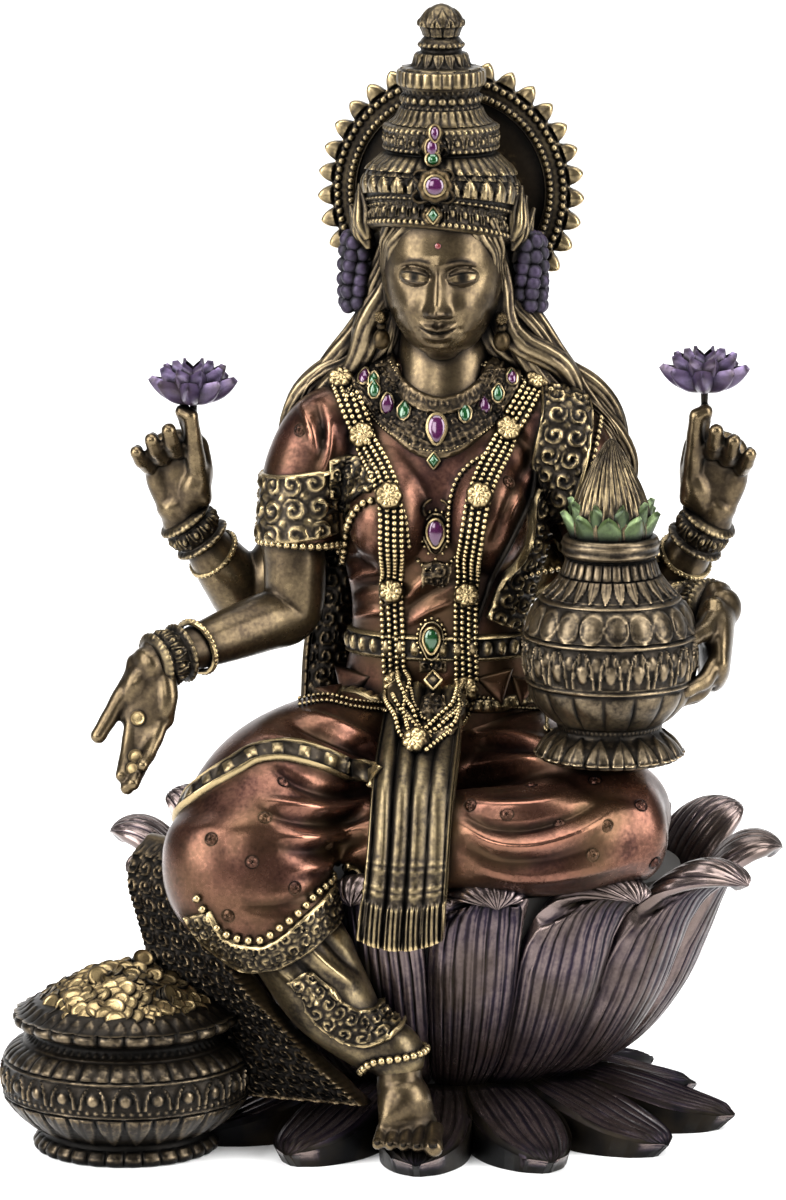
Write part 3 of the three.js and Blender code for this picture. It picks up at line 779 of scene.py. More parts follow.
def fleshForms():
    parts = [
        limb(
            [(*at(-34, -3, 70), 7.0), (*at(-33, -3.5, 60), 6.9)] + forearm(givingElbow, givingWrist, 6.6, 4.3),
            sides=40, rings=70
        )
    ]
    cuffs.append((tuple(np.array(givingWrist) + (-1.5, -1.3, -0.4)), givingElbow, 4.3))
    grip, nails = hand(givingWrist, (-0.147, -0.317, -0.937), (-0.1, -0.95, 0.3), 1, givingFingers)
    parts += grip
    handNails.extend(nails)
    for side in (-1, 1):
        lift, shift = (2.0, 1.4) if side > 0 else (0.0, 0.0)
        elbow, wrist = at(side * 45, 12, 50), at(side * (59.5 - 0.5 * shift), 5, 71 + lift)
        rows = [(*at(side * 20, 8, 84), 8.4), (*at(side * 34, 12, 64), 7.4)] + forearm(elbow, wrist, 7.0, 4.3)
        parts.append(limb(rows, sides=40, rings=70))
        cuffs.append((wrist, elbow, 4.3))
        grip, nails = hand(wrist, (side * 0.04, -0.06, 1), (side * 0.1, -1, 0), -side, raisedFingers, 1.16)
        parts += grip
        handNails.extend(nails)
    wrist = potAxis + np.array([18.6 + 3.4, 16, 49 * 0.62])
    parts.append(limb([(*at(35, 4, 66), 7.4)] + forearm(at(44, 8, 49), wrist, 6.9, 4.5), sides=40, rings=60))
    cuffs.append((wrist, at(44, 8, 49), 4.5))
    grip, nails = hand(wrist, (0.02, -0.62, -0.78), (-1, -0.3, 0), -1, holdingFingers, 1.2)
    parts += grip
    handNails.extend(nails)
    return parts


skinObj = fuse("bareArms", fleshForms(), voxel=0.42, soften=5)
place(skinObj, skinBronze, passes=8, scale=0.5)
neckForm = limbAt(
    [(-0.6, 0, 90, 13, 10), (-0.8, 0, 97, 11.0, 9.2), (-0.5, 1.0, 104, 10.2, 8.6), (-0.5, 2.6, 113, 9.8, 7.8)],
    sides=96, rings=60, round=0.2
)
place(mend(meshObject("neck", *neckForm)), skinBronze, passes=8)

report("cloth")


def project(co):
    rel = np.asarray(co, float) - camPlace
    depth = -(rel @ camBack)
    x0, y0 = picture["centre"]
    return np.stack([x0 + camFocal * (rel @ camRight) / depth, y0 - camFocal * (rel @ camUp) / depth], 1)


# folds are drawn as lines in the photograph's pixels and pressed into whatever faces that way
def pressFolds(obj, folds):
    co, normals = vertsOf(obj), normalsOf(obj)
    px, facing = project(co), clamp((normals @ camBack) * 2.2)
    total = np.zeros(len(co))
    for line, height, width in folds:
        line = np.asarray(line, float)
        path, length = pathOf(np.column_stack([line, np.zeros(len(line))]), 80)
        low, high = path[:, :2].min(0) - width * 3, path[:, :2].max(0) + width * 3
        near = np.flatnonzero(np.all((px > low) & (px < high), axis=1) & (facing > 0))
        if not len(near):
            continue
        gap = np.linalg.norm(px[near, None] - path[None, :, :2], axis=2)
        which = gap.argmin(1)
        taper = np.sin(clamp((which + 1.0) / 82) * math.pi) ** 0.6
        total[near] += 1.35 * height * hump(gap.min(1), width) * taper
    total = np.clip(total, -2.6, 2.2) * facing
    moveVerts(obj, co + normals * total[:, None])
    return obj


def blouseForms():
    rows = [
        (*at(-1, 4, 2), 24, 16),
        (*at(-1, 3, 18), 25, 16),
        (*at(-1, 2, 32), 22.5, 13.5),
        (*at(-1, 1, 43), 20.2, 12.2),
        (*at(-1, 0, 54), 19.8, 11.8),
        (*at(-1, 0, 70), 23.2, 13.2),
        (*at(-1, 0, 84), 24.6, 12.4),
        (*at(-1, 0, 92), 19, 10),
        (*at(-1, 0, 97), 11.5, 8.4),
    ]
    parts = [limb(rows, sides=64, rings=90, round=0.1)]
    for x in (-11, 10):
        parts.append(limbAt([(x, -5, 64, 7.2, 6), (x, -10, 73, 9.4, 9), (x * 0.95, -6, 85, 7, 6)], sides=40))
    parts.append(
        limbAt(
            [
                (-17, 0, 96, 6, 7),
                (-25, 0, 92, 9, 9),
                (-30, -1, 82, 10, 10.2),
                (-31.5, -3, 72, 9.2, 9.4),
                (-32, -4, 66, 9.2, 9.4),
            ],
            sides=56,
            rings=60,
            round=0.1,
        )
    )
    parts.append(
        limbAt(
            [
                (17, 0, 96, 6, 7), (24, 0, 92, 9, 8.6), (31, 1, 80, 9.4, 9.4), (36, 3, 66, 8.8, 8.8),
                (39, 5, 60, 8.6, 8.6)
            ],
            sides=56, rings=60, round=0.1
        )
    )
    for side in (-1, 1):
        parts.append(
            limbAt(
                [(side * 7, 2, 103, 6, 6), (side * 14, 1, 99, 6.2, 6.4), (side * 22, 0.5, 93.5, 6.4, 7)],
                sides=40, rings=40, round=0.2
            )
        )
        parts.append(
            limbAt(
                [(side * 18, 7, 88, 9, 8), (side * 30, 11, 72, 8.6, 8.4), (side * 35, 12.5, 63, 8, 8)],
                sides=40, rings=40, round=0.1
            )
        )
    return parts


blouseFolds = [
    ([(345, 600), (358, 590), (380, 586), (410, 590)], -0.7, 4),
    ([(345, 585), (362, 573), (385, 570)], 0.7, 4),
    ([(346, 560), (360, 560), (376, 566)], -0.6, 4),
    ([(350, 618), (372, 612), (392, 612)], 0.6, 4),
    ([(300, 400), (310, 425), (318, 455)], 0.8, 5),
    ([(316, 400), (322, 430), (322, 460)], -0.9, 5),
    ([(330, 420), (328, 450), (320, 480)], 0.9, 5),
    ([(404, 600), (425, 580), (455, 565)], 0.8, 4),
    ([(404, 612), (428, 595), (458, 580)], -0.7, 4),
    ([(405, 625), (430, 610), (455, 600)], 0.6, 4),
    ([(530, 470), (515, 500), (500, 530)], 0.9, 5),
    ([(520, 480), (505, 515), (492, 545)], -0.9, 5),
    ([(538, 420), (530, 460), (515, 490)], -0.7, 5),
    ([(605, 450), (612, 480), (615, 520)], 0.8, 5),
    ([(618, 460), (626, 490), (628, 520)], -0.8, 5),
]
blouseObj = pressFolds(fuse("blouse", blouseForms(), voxel=0.6, soften=14), blouseFolds)
place(blouseObj, copperCloth, passes=12, scale=0.8)


def skirtForms():
    return [
        limbAt(
            [(-12, 2, 16, 14, 15), (-24, -16, 19, 15.5, 16), (-34, -32, 14, 18, 17), (-38, -42, 6, 18.5, 15)],
            sides=48, rings=60, facing=(0, 0, 1)
        ),
        limbAt(
            [
                (-39, -42, 12, 17, 14), (-38.5, -44, 1, 19, 15), (-32.4, -46, -9, 14.8, 13.3),
                (-28.8, -46.6, -15.5, 12.6, 12.2)
            ],
            sides=48, rings=60, round=0.05
        ),
        limbAt(
            [(12, 2, 15, 14, 15), (25, -12, 14, 15, 15), (38, -26, 9.5, 17, 14.5)], sides=48, rings=60,
            facing=(0, 0, 1)
        ),
        limbAt(
            [(44, -28, 9, 12, 12.5), (28, -36, 8, 13.5, 12.5), (8, -38, 7.5, 12, 11.5), (-14, -34, 6, 9, 9)],
            sides=48, rings=60, facing=(0, 0, 1)
        ),
        limbAt(
            [(-1, 4, 4, 25.5, 18), (-1, 3, 18, 25.5, 16.6), (-1, 2, 27, 23, 14.6)], sides=64, rings=30,
            round=0.3
        ),
    ]


skirtFolds = [
    ([(300, 712), (330, 722), (365, 738), (385, 750)], 1.0, 5),
    ([(290, 722), (325, 736), (360, 752), (383, 765)], -1.2, 5),
    ([(262, 735), (300, 745), (340, 762), (378, 778)], 0.9, 6),
    ([(375, 790), (335, 795), (300, 785), (272, 768)], -1.0, 6),
    ([(372, 800), (335, 808), (298, 806), (262, 800)], 1.1, 6),
    ([(372, 812), (338, 822), (305, 822), (272, 816)], -1.1, 6),
    ([(370, 822), (340, 834), (305, 838), (275, 836)], 1.0, 6),
    ([(366, 838), (335, 850), (308, 852), (285, 850)], -1.0, 6),
    ([(360, 850), (335, 864), (310, 868), (290, 872)], 0.9, 6),
    ([(240, 905), (280, 905), (320, 890), (352, 868)], -0.6, 6),
    ([(460, 770), (500, 762), (545, 758), (580, 765)], 0.9, 6),
    ([(462, 790), (500, 784), (540, 772), (570, 774)], -0.9, 6),
    ([(462, 800), (490, 806), (530, 806), (570, 796)], 1.1, 6),
    ([(464, 815), (490, 826), (525, 828), (570, 815), (600, 800)], -1.3, 6),
    ([(462, 825), (490, 842), (530, 846), (580, 832), (610, 815)], 1.2, 7),
    ([(466, 845), (500, 862), (545, 862), (595, 846)], -0.9, 7),
    ([(470, 868), (520, 878), (580, 872), (640, 858)], 0.8, 7),
    ([(560, 770), (590, 790), (640, 800)], -0.6, 7),
    ([(470, 735), (510, 735), (550, 742)], 0.8, 5),
    ([(472, 748), (510, 748), (550, 754)], -0.9, 5),
]
skirtObj = pressFolds(fuse("skirt", skirtForms(), voxel=0.65, soften=80), skirtFolds)


def backFolds(obj, count, depth, front=-6.0):
    co, normals = vertsOf(obj), normalsOf(obj)
    behind = clamp((co[:, 1] - front) / 8) * clamp(normals[:, 1] * 2)
    wave = np.sin(
        np.arctan2(co[:, 0] + 1, co[:, 1] + 12) * count + 0.12 * (co[:, 2] - 80)
        + 0.8 * np.sin(co[:, 2] * 0.2)
    )
    moveVerts(obj, co + normals * (behind * depth * wave)[:, None])


backFolds(skirtObj, 16, 0.7)
place(skirtObj, copperCloth, passes=14, scale=0.9)

ankle = np.array([-5.0, -48.0, 20.5])


def underForms():
    return [
        limb(
            [
                (*at(-28, -45, -14), 11, 10), (*at(-20, -46, -27), 9.5, 9), (*at(-12, -47, -35), 6.8, 6.8),
                (*(ankle + (-1, 0, 4)), 6.2, 6.2), (*(ankle + (0, 0, 1)), 5.6, 5.6)
            ],
            sides=48, rings=60
        ),
    ]


underObj = pressFolds(
    fuse("legWrap", underForms(), voxel=0.6, soften=5),
    [
        ([(300, 940), (325, 965), (352, 985)], 0.9, 5),
        ([(318, 930), (342, 955), (362, 975)], -0.9, 5),
        ([(335, 925), (356, 945), (378, 968)], 0.9, 5),
        ([(352, 918), (370, 940), (390, 962)], -0.8, 5),
        ([(285, 950), (310, 975), (340, 1000)], -0.9, 5),
        ([(275, 965), (300, 985), (330, 1012)], 0.9, 5),
    ],
)
place(underObj, bronze, passes=10, scale=0.7)


def footForms():
    ball0 = np.array([ankle[0] + 2.2, ankle[1] - 4.6, 9.6])
    heel = np.array([ankle[0], ankle[1] + 4, 12.5])
    parts = [
        limb([(*(ankle + (0, 0, 4)), 4.8, 4.8), (*(ankle + (0, -1, -4)), 5.0, 5.2)], sides=32),
        limb(
            [(*heel, 5, 5), (*((ankle + ball0) / 2), 5.8, 5.4), (*ball0, 6.9, 3.1)], sides=32,
            facing=(0, 0, 1)
        ),
    ]
    for i, across in enumerate((-5.5, -2.8, 0.0, 2.8, 6.1)):
        root = ball0 + (across, -1.0, -0.8)
        tip = root + (0.06 * across, -(5.6 + i * 0.55), -2.0)
        wide = 2.1 if i == 4 else 1.4
        parts.append(
            limb(
                [(*root, wide * 0.95), (*((root + tip) / 2 + (0, 0, 0.5)), wide * 0.84), (*tip, wide * 1.04)],
                sides=20, rings=20, facing=(0, 0, 1), round=0.8
            )
        )
        handNails.append(
            (tip + (0, -0.9, wide * 0.55), np.array([0, -0.8, -0.5]), np.array([0, -0.3, 0.9]), wide)
        )
    return parts


place(fuse("foot", footForms(), voxel=0.36, soften=6), skinBronze, passes=8, scale=0.5)


# a pleated panel from the belt over the lap: its middle line and how the pleats stand in it
def pleatedPanel():
    path, _ = pathOf(
        [at(-2.5, -16, 36), at(-2.5, -31, 28), at(-2.5, -45, 20), at(-3, -51.5, 6), at(-4.5, -53, -11)], 150
    )
    across, n = 121, len(path)
    along = unit(np.gradient(path, axis=0))
    side = np.array([1.0, 0, 0])
    out = unit(np.cross(along, side))
    out *= np.sign(-out[:, 1:2] + 0.2)
    v = np.linspace(0, 1, n)[:, None]
    u = np.linspace(-1, 1, across)[None]
    pleats = 4.5
    shape = (
        np.abs(np.sin((u * pleats / 2 + 0.07 * np.sin(5 * v)) * math.pi)) ** 0.7
        * (0.75 + 0.25 * np.cos(u * 3 + 1))
    )
    fine = 0.1 * np.sin(u * 11 + 2 * np.sin(4 * v))
    half = 8.0 + 1.5 * v**0.8 + 0.3 * np.sin(6 * v)
    hem = 0
    for level in (0.745, 0.765, 0.815, 0.835):
        hem = hem + hump(v - level, 0.007)
    fringe = sized(0.86, 0.875, v) * (np.abs(np.sin(u * 26 + 2 * np.sin(v * 9))) ** 0.6) * 0.7
    lift = 1.0 + 1.7 * shape + fine + 0.32 * hem + fringe - 0.8 * (np.abs(u) > 0.97)
    droop = 2.4 * (1 - u**2) * sized(0.6, 1, v)
    top = path[:, None, :] + side * (u * half)[..., None] + out[:, None, :] * lift[..., None]
    top[..., 2] -= droop
    low = path[:, None, :] + side * (u * half)[..., None] - out[:, None, :] * 3.2
    low[..., 2] -= droop
    return closedSheet(top, low)


panelObj = cast("pleatedPanel", pleatedPanel())
place(panelObj, bronze, passes=6, scale=0.4)


# the end of the shawl, over the lotus beside the hanging leg
def fallingCloth():
    shares = [
        (-0.74, -0.56, 1.05), (-0.75, -0.67, 0.88), (-0.67, -0.77, 0.66), (-0.53, -0.86, 0.44),
        (-0.34, -0.94, 0.2)
    ]
    w, d = lotusSet["rim"]
    path, length = pathOf([(x * w, y * d, z * seat) for x, y, z in shares], 130)
    out = unit(np.column_stack([path[:, 0] / w**2, path[:, 1] / d**2, np.zeros(len(path))]))
    side = unit(np.cross([0, 0, 1.0], out))
    n, m = len(path), 91
    s = np.linspace(0, length, n)[:, None]
    u = np.linspace(-1, 1, m)[None]
    half = 11 + 3.5 * s / length + 0 * u
    x = u * half
    carve = scrolls(s + 0 * x, x + 40, 4.1) * 0.95 * (np.abs(x) < half - 1.6)
    rope = np.abs(np.sin(s * 2.1)) * 0.7 * (np.abs(np.abs(x) - half + 0.8) < 0.8)
    top = (
        path[:, None] + side[:, None] * x[..., None]
        + out[:, None]
        * (
            (2.2 + carve + rope + 0.8 * np.sin(s * 0.25)) * np.clip(s / 3, 0.1, 1)
            - 3.8 * clamp((np.abs(u) - 0.88) / 0.12) ** 2
        )[..., None]
    )
    low = path[:, None] + side[:, None] * x[..., None] - out[:, None] * 2.2
    return closedSheet(top, low)


clothObj = cast("shawlEnd", fallingCloth())
place(clothObj, umberAndShade, passes=6, scale=0.35)


def skinOf(*objs):
    verts, faces, start = [], [], 0
    for obj in objs:
        co = vertsOf(obj)
        obj.data.calc_loop_triangles()
        tri = np.empty(len(obj.data.loop_triangles) * 3, np.int64)
        obj.data.loop_triangles.foreach_get("vertices", tri)
        verts.append(co)
        faces.append(tri.reshape(-1, 3) + start)
        start += len(co)
    return BVHTree.FromPolygons(np.concatenate(verts).tolist(), np.concatenate(faces).tolist())


# carved cloth behind her right hip, seen between the arm and the waist
def clothBehind():
    path, length = pathOf(
        [(-20, 13, 150), (-23, 13.5, 130), (-24.5, 12, 112), (-25.5, 9, 98), (-27, 4, 88), (-28.5, -1, 82)],
        120
    )
    side = np.array([1.0, 0.12, 0.0])
    out = unit(np.cross(np.gradient(path, axis=0), side))
    out *= np.sign(-out[:, 1:2])
    s = np.linspace(0, length, len(path))[:, None]
    u = np.linspace(-1, 1, 61)[None]
    half = 6.6 + 0.9 * np.sin(s * 0.16)
    carve = (
        0.9 * scrolls(s + 0 * u, u * half + 40, 4.4) * (np.abs(u) < 0.8)
        + 0.5 * np.abs(np.sin(s * 2.1)) * (np.abs(np.abs(u) - 0.9) < 0.07)
    )
    fold = 1.1 * np.sin(u * 5.0 + s * 0.05)
    front = (
        path[:, None] + side * (u * half)[..., None]
        + out[:, None] * ((1.4 + carve) * np.clip((1 - np.abs(u)) * 9, 0.1, 1) + fold)[..., None]
    )
    back = path[:, None] + side * (u * half)[..., None] - out[:, None] * (1.4 - fold)[..., None]
    return closedSheet(front, back)


place(cast("clothBehind", clothBehind()), umberAndShade, passes=6, scale=0.35)


# the point of a skin under a pixel of the picture
def seen(px, py, skin):
    x0, y0 = picture["centre"]
    ray = unit(-camBack * camFocal + camRight * (px - x0) + camUp * (y0 - py))
    hit = skin.ray_cast(Vector(camPlace), Vector(ray))
    if hit[0] is None:
        hit = skin.find_nearest(Vector(camPlace + ray * (cameraSet["distance"] - 8)))
    return np.array(hit[0]), np.array(hit[1])


def seenLine(pixels, skin):
    path, _ = pathOf([(x, y, 0.0) for x, y in pixels], 24)
    return np.array([seen(x, y, skin)[0] for x, y, _ in path])


def nearest(point, skin):
    hit = skin.find_nearest(Vector(point))
    return np.array(hit[0]), np.array(hit[1])


def evened(grid, passes=2):
    for _ in range(passes):
        grid = grid.copy()
        grid[1:-1] = (grid[:-2] + 2 * grid[1:-1] + grid[2:]) / 4
        grid[:, 1:-1] = (grid[:, :-2] + 2 * grid[:, 1:-1] + grid[:, 2:]) / 4
    return grid


# a carved band laid on the body: half is its half width in mm, height(s, t) its relief over mm along and across
def band(points, half, height, pitch=0.4, skin=None, passes=3):
    points = np.asarray(points, float)
    half = np.broadcast_to(np.asarray(half, float), (len(points),))
    rough, length = pathOf(np.column_stack([points, half]), 60)
    n = max(8, int(length / pitch))
    path, length = pathOf(rough, n)
    m = max(6, int(2 * path[:, 3].max() / pitch)) + 1
    centre = [nearest(p[:3], skin) for p in path]
    middle = evened(np.array([c[0] for c in centre])[:, None, :].repeat(3, 1), 3)[:, 1]
    normal = unit(evened(np.array([c[1] for c in centre])[:, None, :].repeat(3, 1), 6)[:, 1])
    along = unit(np.gradient(middle, axis=0))
    side = unit(np.cross(along, normal))
    t = np.linspace(-1, 1, m)
    place3, normals = np.empty((n, m, 3)), np.empty((n, m, 3))
    for i in range(n):
        for j in range(m):
            place3[i, j], normals[i, j] = nearest(middle[i] + side[i] * t[j] * path[i, 3], skin)
    place3, normals = evened(place3, passes), unit(evened(normals, passes + 3))
    s = np.linspace(0, length, n)[:, None] + 0 * t[None]
    x = t[None] * path[:, 3:4]
    edge = clamp((path[:, 3:4] - np.abs(x)) / 0.5)
    raised = (0.25 + height(s, x)) * edge - 0.3 * (1 - edge)
    return closedSheet(place3 + normals * raised[..., None], place3 - normals * 0.9)


def templateOf(add, **settings):
    for other in bpy.context.selected_objects:
        other.select_set(False)
    add(**settings)
    obj = bpy.context.active_object
    verts = np.array([v.co[:] for v in obj.data.vertices])
    faces = [list(p.vertices) for p in obj.data.polygons]
    bpy.data.objects.remove(obj)
    return verts, faces


beadShape = templateOf(bpy.ops.mesh.primitive_ico_sphere_add, subdivisions=2, radius=1.0)
smallBeadShape = templateOf(bpy.ops.mesh.primitive_uv_sphere_add, segments=7, ring_count=5, radius=1.0)


def beadsAt(centres, radius, shape=None):
    verts, faces = shape or smallBeadShape
    out = (verts[None] * radius + np.asarray(centres, float)[:, None]).reshape(-1, 3)
    return out, [[i + k * len(verts) for i in f] for k in range(len(centres)) for f in faces]


def beadLine(points, radius, gap=2.05, shape=None):
    _, length = pathOf(points, 50)
    path, _ = pathOf(points, max(2, int(length / (radius * gap))))
    return beadsAt(path, radius, shape)


# a thin cord: it lies on the skin where one is given
def cord(points, radius, lift=0.3, skin=None):
    _, length = pathOf(points, 50)
    path, _ = pathOf(points, max(4, int(length / 0.6)))
    if skin:
        path = np.array([p + n * radius * lift for p, n in (nearest(q, skin) for q in path)])
        path = evened(path[:, None].repeat(3, 1), 2)[:, 1]
    rows = np.column_stack([path, np.full(len(path), radius)])
    return limb(rows, sides=8, rings=len(rows), facing=(0.13, 0.31, 0.94), round=0.8)


def frameOf(normal, up=(0, 0, 1)):
    n = unit(normal)
    side = unit(np.cross(up, n))
    return side, np.cross(n, side), n


def turnedTo(verts, side, top, n):
    return verts[:, :1] * side + verts[:, 1:2] * top + verts[:, 2:] * n


# a round or shaped medallion: outline(angle) gives its radius share, height(r, angle) its relief in mm
def medal(middle, normal, radius, height, outline=None, rings=10, sides=40, sink=1.0, up=(0, 0, 1), tilt=0.0):
    side, top, n = frameOf(normal, up)
    a = np.arange(sides) / sides * turn
    reach = radius * (outline(a) if outline is not None else np.ones(sides))
    r = np.linspace(0, 1, rings + 1)[1:]
    rr, aa = np.meshgrid(r, a, indexing="ij")
    flat = (
        rr[..., None] * reach[None, :, None]
        * (np.cos(aa + tilt)[..., None] * side + np.sin(aa + tilt)[..., None] * top)
    )
    verts = middle + flat + height(rr, aa)[..., None] * n
    tip = middle + n * float(height(np.array([[0.0]]), np.array([[0.0]]))[0, 0])
    last = verts[-1] - n * (sink + float(height(np.array([[1.0]]), np.array([[0.0]]))[0, 0]))
    verts = np.concatenate([verts.reshape(-1, 3), last, [tip, middle - n * sink]])
    faces = ringFaces(rings + 1, sides)
    c = (rings + 1) * sides
    faces += fans(c, c + 1, rings * sides, sides)
    return verts, faces


def rosette(middle, normal, radius, petals=8, rise=0.9):
    def height(r, a):
        outer = np.abs(np.cos(a * petals / 2)) ** 0.7 * np.sin(clamp((r - 0.42) / 0.58) * math.pi) ** 0.7
        inner = np.abs(np.sin(a * petals / 2)) ** 0.8 * np.sin(clamp((r - 0.15) / 0.4) * math.pi) * 0.7
        core = dome((r / 0.2) ** 2)
        return rise * (0.35 + 0.9 * dome(r**2) + 0.4 * outer + 0.35 * inner + 0.45 * core)

    return medal(
        middle, normal, radius, height, lambda a: 0.88 + 0.12 * np.abs(np.cos(a * petals / 2)), rings=12,
        sides=56
    )


def dropOutline(a):
    return (
        1 / np.sqrt((np.cos(a) / 0.7) ** 2 + (np.sin(a) / 1.0) ** 2)
        * (1 + 0.28 * hump(a - turn * 0.75, 0.36))
    )


def lozengeOutline(a):
    return 1 / (np.abs(np.cos(a)) / 0.72 + np.abs(np.sin(a))) ** 0.9


def stoneAndRim(middle, normal, radius, outline=None, rise=0.8, rim=0.28, upside=False):
    stone = medal(
        middle + unit(normal) * 0.3, normal, radius, lambda r, a: rise * dome(0.85 * r**2), outline, rings=7,
        sides=28, tilt=math.pi if upside else 0.0
    )
    side, top, n = frameOf(normal)
    a = np.linspace(0, turn, 37)[:-1] + (math.pi if upside else 0)
    reach = (radius + rim) * (outline(a - (math.pi if upside else 0)) if outline is not None else np.ones(36))
    loop = middle + n * 0.45 + reach[:, None] * (np.cos(a)[:, None] * side + np.sin(a)[:, None] * top)
    return stone, hoop(loop, rim)


def hoop(loop, radius, sides=7):
    loop = np.asarray(loop, float)
    along = unit(np.roll(loop, -1, 0) - np.roll(loop, 1, 0))
    middle = loop.mean(0)
    out = unit(loop - middle)
    out = unit(out - along * np.sum(out * along, 1, keepdims=True))
    up = np.cross(along, out)
    a = np.arange(sides) / sides * turn
    verts = (
        loop[:, None]
        + radius * (np.cos(a)[None, :, None] * out[:, None] + np.sin(a)[None, :, None] * up[:, None])
    )
    faces = ringFaces(len(loop), sides)
    last = (len(loop) - 1) * sides
    faces += [[last + j, last + (j + 1) % sides, (j + 1) % sides, j] for j in range(sides)]
    return verts.reshape(-1, 3), faces


report("head")
faceSet = {
    "mouth": 177.3,
    "noseBase": 181.0,
    "eyes": 189.2,
    "eyeApart": 5.3,
    "brow": 192.6,
}


def headForm():
    rows = [
        (-0.2, -3.4, 171.0, 3.6, 8.0), (-0.2, -3.2, 172.8, 6.6, 10.4), (-0.2, -3.0, 176.6, 9.6, 11.7),
        (-0.2, -3.0, 182.0, 12.1, 12.2), (-0.2, -2.2, 187.0, 13.3, 13.0), (-0.2, -1.6, 192.0, 13.4, 13.4),
        (-0.2, -0.8, 198.0, 13.0, 13.6), (-0.2, 0.4, 204.0, 11.2, 12.4),
    ]
    verts, faces = limb(rows, sides=280, rings=170, facing=(0, 1, 0), round=0.45)
    co = verts.copy()
    x, z = np.abs(co[:, 0] + 0.2), co[:, 2]
    front = clamp((-co[:, 1] - 1.5) / 5)
    f, e = faceSet, faceSet["eyeApart"]
    out = np.zeros(len(co))
    out -= 1.6 * bumpAt(x, z, e - 0.2, f["eyes"] + 0.2, 3.7, 2.5)
    out -= 0.5 * bumpAt(x, z, 1.9, f["eyes"] + 0.6, 1.2, 1.6)
    browLine = f["brow"] + 1.0 * np.sin(clamp((x - 1.4) / 7.6) * math.pi) - 0.09 * x
    out += 0.5 * hump(z - browLine + 0.4, 1.2) * np.exp(-(((x - 5) / 4.4) ** 4))
    eyeball = clamp(1 - ((x - e) / 3.5) ** 2 - ((z - f["eyes"] - 0.2) / 2.3) ** 2) ** 0.8
    out += 1.5 * eyeball
    lid = f["eyes"] + 1.2 * dome(((x - e) / 3.3) ** 2) + 0.1 * (x - e)
    low = f["eyes"] - 0.9 * dome(((x - e) / 3.2) ** 2) + 0.1 * (x - e)
    onEye = clamp((2.95 - np.abs(x - e)) * 2.5)
    out += 0.42 * hump(z - lid - 0.3, 0.36) * onEye
    out -= 0.22 * hump(z - lid - 1.15, 0.28) * onEye
    out += 0.26 * hump(z - low + 0.25, 0.3) * onEye
    ridge = clamp((f["brow"] - 1.0 - z) / (f["brow"] - 1.0 - f["noseBase"] - 0.9))
    under = sized(f["noseBase"] - 0.75, f["noseBase"] + 0.35, z)
    out += (
        (0.5 + 2.9 * ridge**1.2) * hump(x, 1.35 + 0.85 * ridge) * under * (z < f["brow"] + 2)
        * clamp((f["brow"] + 1.6 - z) / 2)
    )
    out += 0.75 * bumpAt(x, z, 0, f["noseBase"] + 1.15, 1.25, 1.15)
    out += 1.25 * bumpAt(x, z, 1.95, f["noseBase"] + 0.85, 0.85, 1.0)
    out -= 0.55 * bumpAt(x, z, 1.0, f["noseBase"] - 0.15, 0.5, 0.34)
    out -= 0.3 * bumpAt(x, z, 0, 179.2, 0.5, 0.9)
    smile = f["mouth"] + 0.06 * x**2
    bow = smile + 0.85 - 0.22 * hump(x, 0.55) + 0.12 * hump(x - 1.1, 0.6) - 0.014 * x**2
    mouthReach = clamp((4.3 - x) / 1.5)
    out += 0.65 * hump(z - bow, 0.66) * mouthReach
    out += 0.75 * hump(z - smile + 1.25, 0.85) * clamp((3.7 - x) / 2.2)
    out -= 0.4 * hump(z - smile, 0.26) * clamp((4.3 - x) / 1.2)
    out += 0.9 * np.exp(-((x / 4.2) ** 2) - ((z - 177.2) / 2.6) ** 2)
    out -= 0.3 * bumpAt(x, z, 0, 175.0, 2.6, 0.8)
    out += 0.5 * bumpAt(x, z, 0, 173.4, 3.0, 2.0)
    out -= 0.35 * bumpAt(x, z, 4.7, 177.9, 0.7, 0.7)
    out += 0.8 * bumpAt(x, z, 6.6, 182.6, 3.0, 2.9)
    out -= 0.35 * bumpAt(x, z, 8.2, 177.4, 2.0, 2.4)
    co[:, 1] -= out * front
    dark = -1.1 * hump(z - lid + 0.05, 0.24) * onEye
    dark -= 0.7 * hump(z - low, 0.2) * onEye
    inEye = (z < lid) * (z > low) * (np.abs(x - e) < 2.8)
    iris = np.hypot(x - e, z - f["eyes"] - 0.15)
    dark += inEye * (0.45 - 1.5 * np.exp(-((iris / 1.1) ** 4)))
    dark -= 0.95 * hump(z - browLine, 0.32) * clamp((x - 1.6) / 1.0) * clamp((8.4 - x) / 2)
    dark -= 0.55 * hump(z - smile, 0.17) * clamp((4.2 - x) / 0.8)
    # painted shadow in the nostrils
    dark -= 0.5 * bumpAt(x, z, 1.0, f["noseBase"] - 0.1, 0.5, 0.3)
    dark += 0.25 * bumpAt(x, z, 0, f["noseBase"] + 1.6, 1.0, 3.5)
    return co, faces, dark * front


co, faces, dark = headForm()
headObj = meshObject("face", co, faces)
place(headObj, skinBronze)
markRelief(headObj, 30, 1.9, add=dark + 0.12)
bindi = stoneFinish("vermilionDot", "#6e1512", roughness=0.4)  # painted red mark
headSkin = skinOf(headObj)
spot, normal = nearest((-0.2, -16, 196.4), headSkin)
place(
    meshObject(
        "browMark",
        *medal(spot, (0, -1, 0.1), 0.62, lambda r, a: 0.3 * dome(0.8 * r**2), rings=5, sides=20, sink=0.4)
    ),
    bindi
)

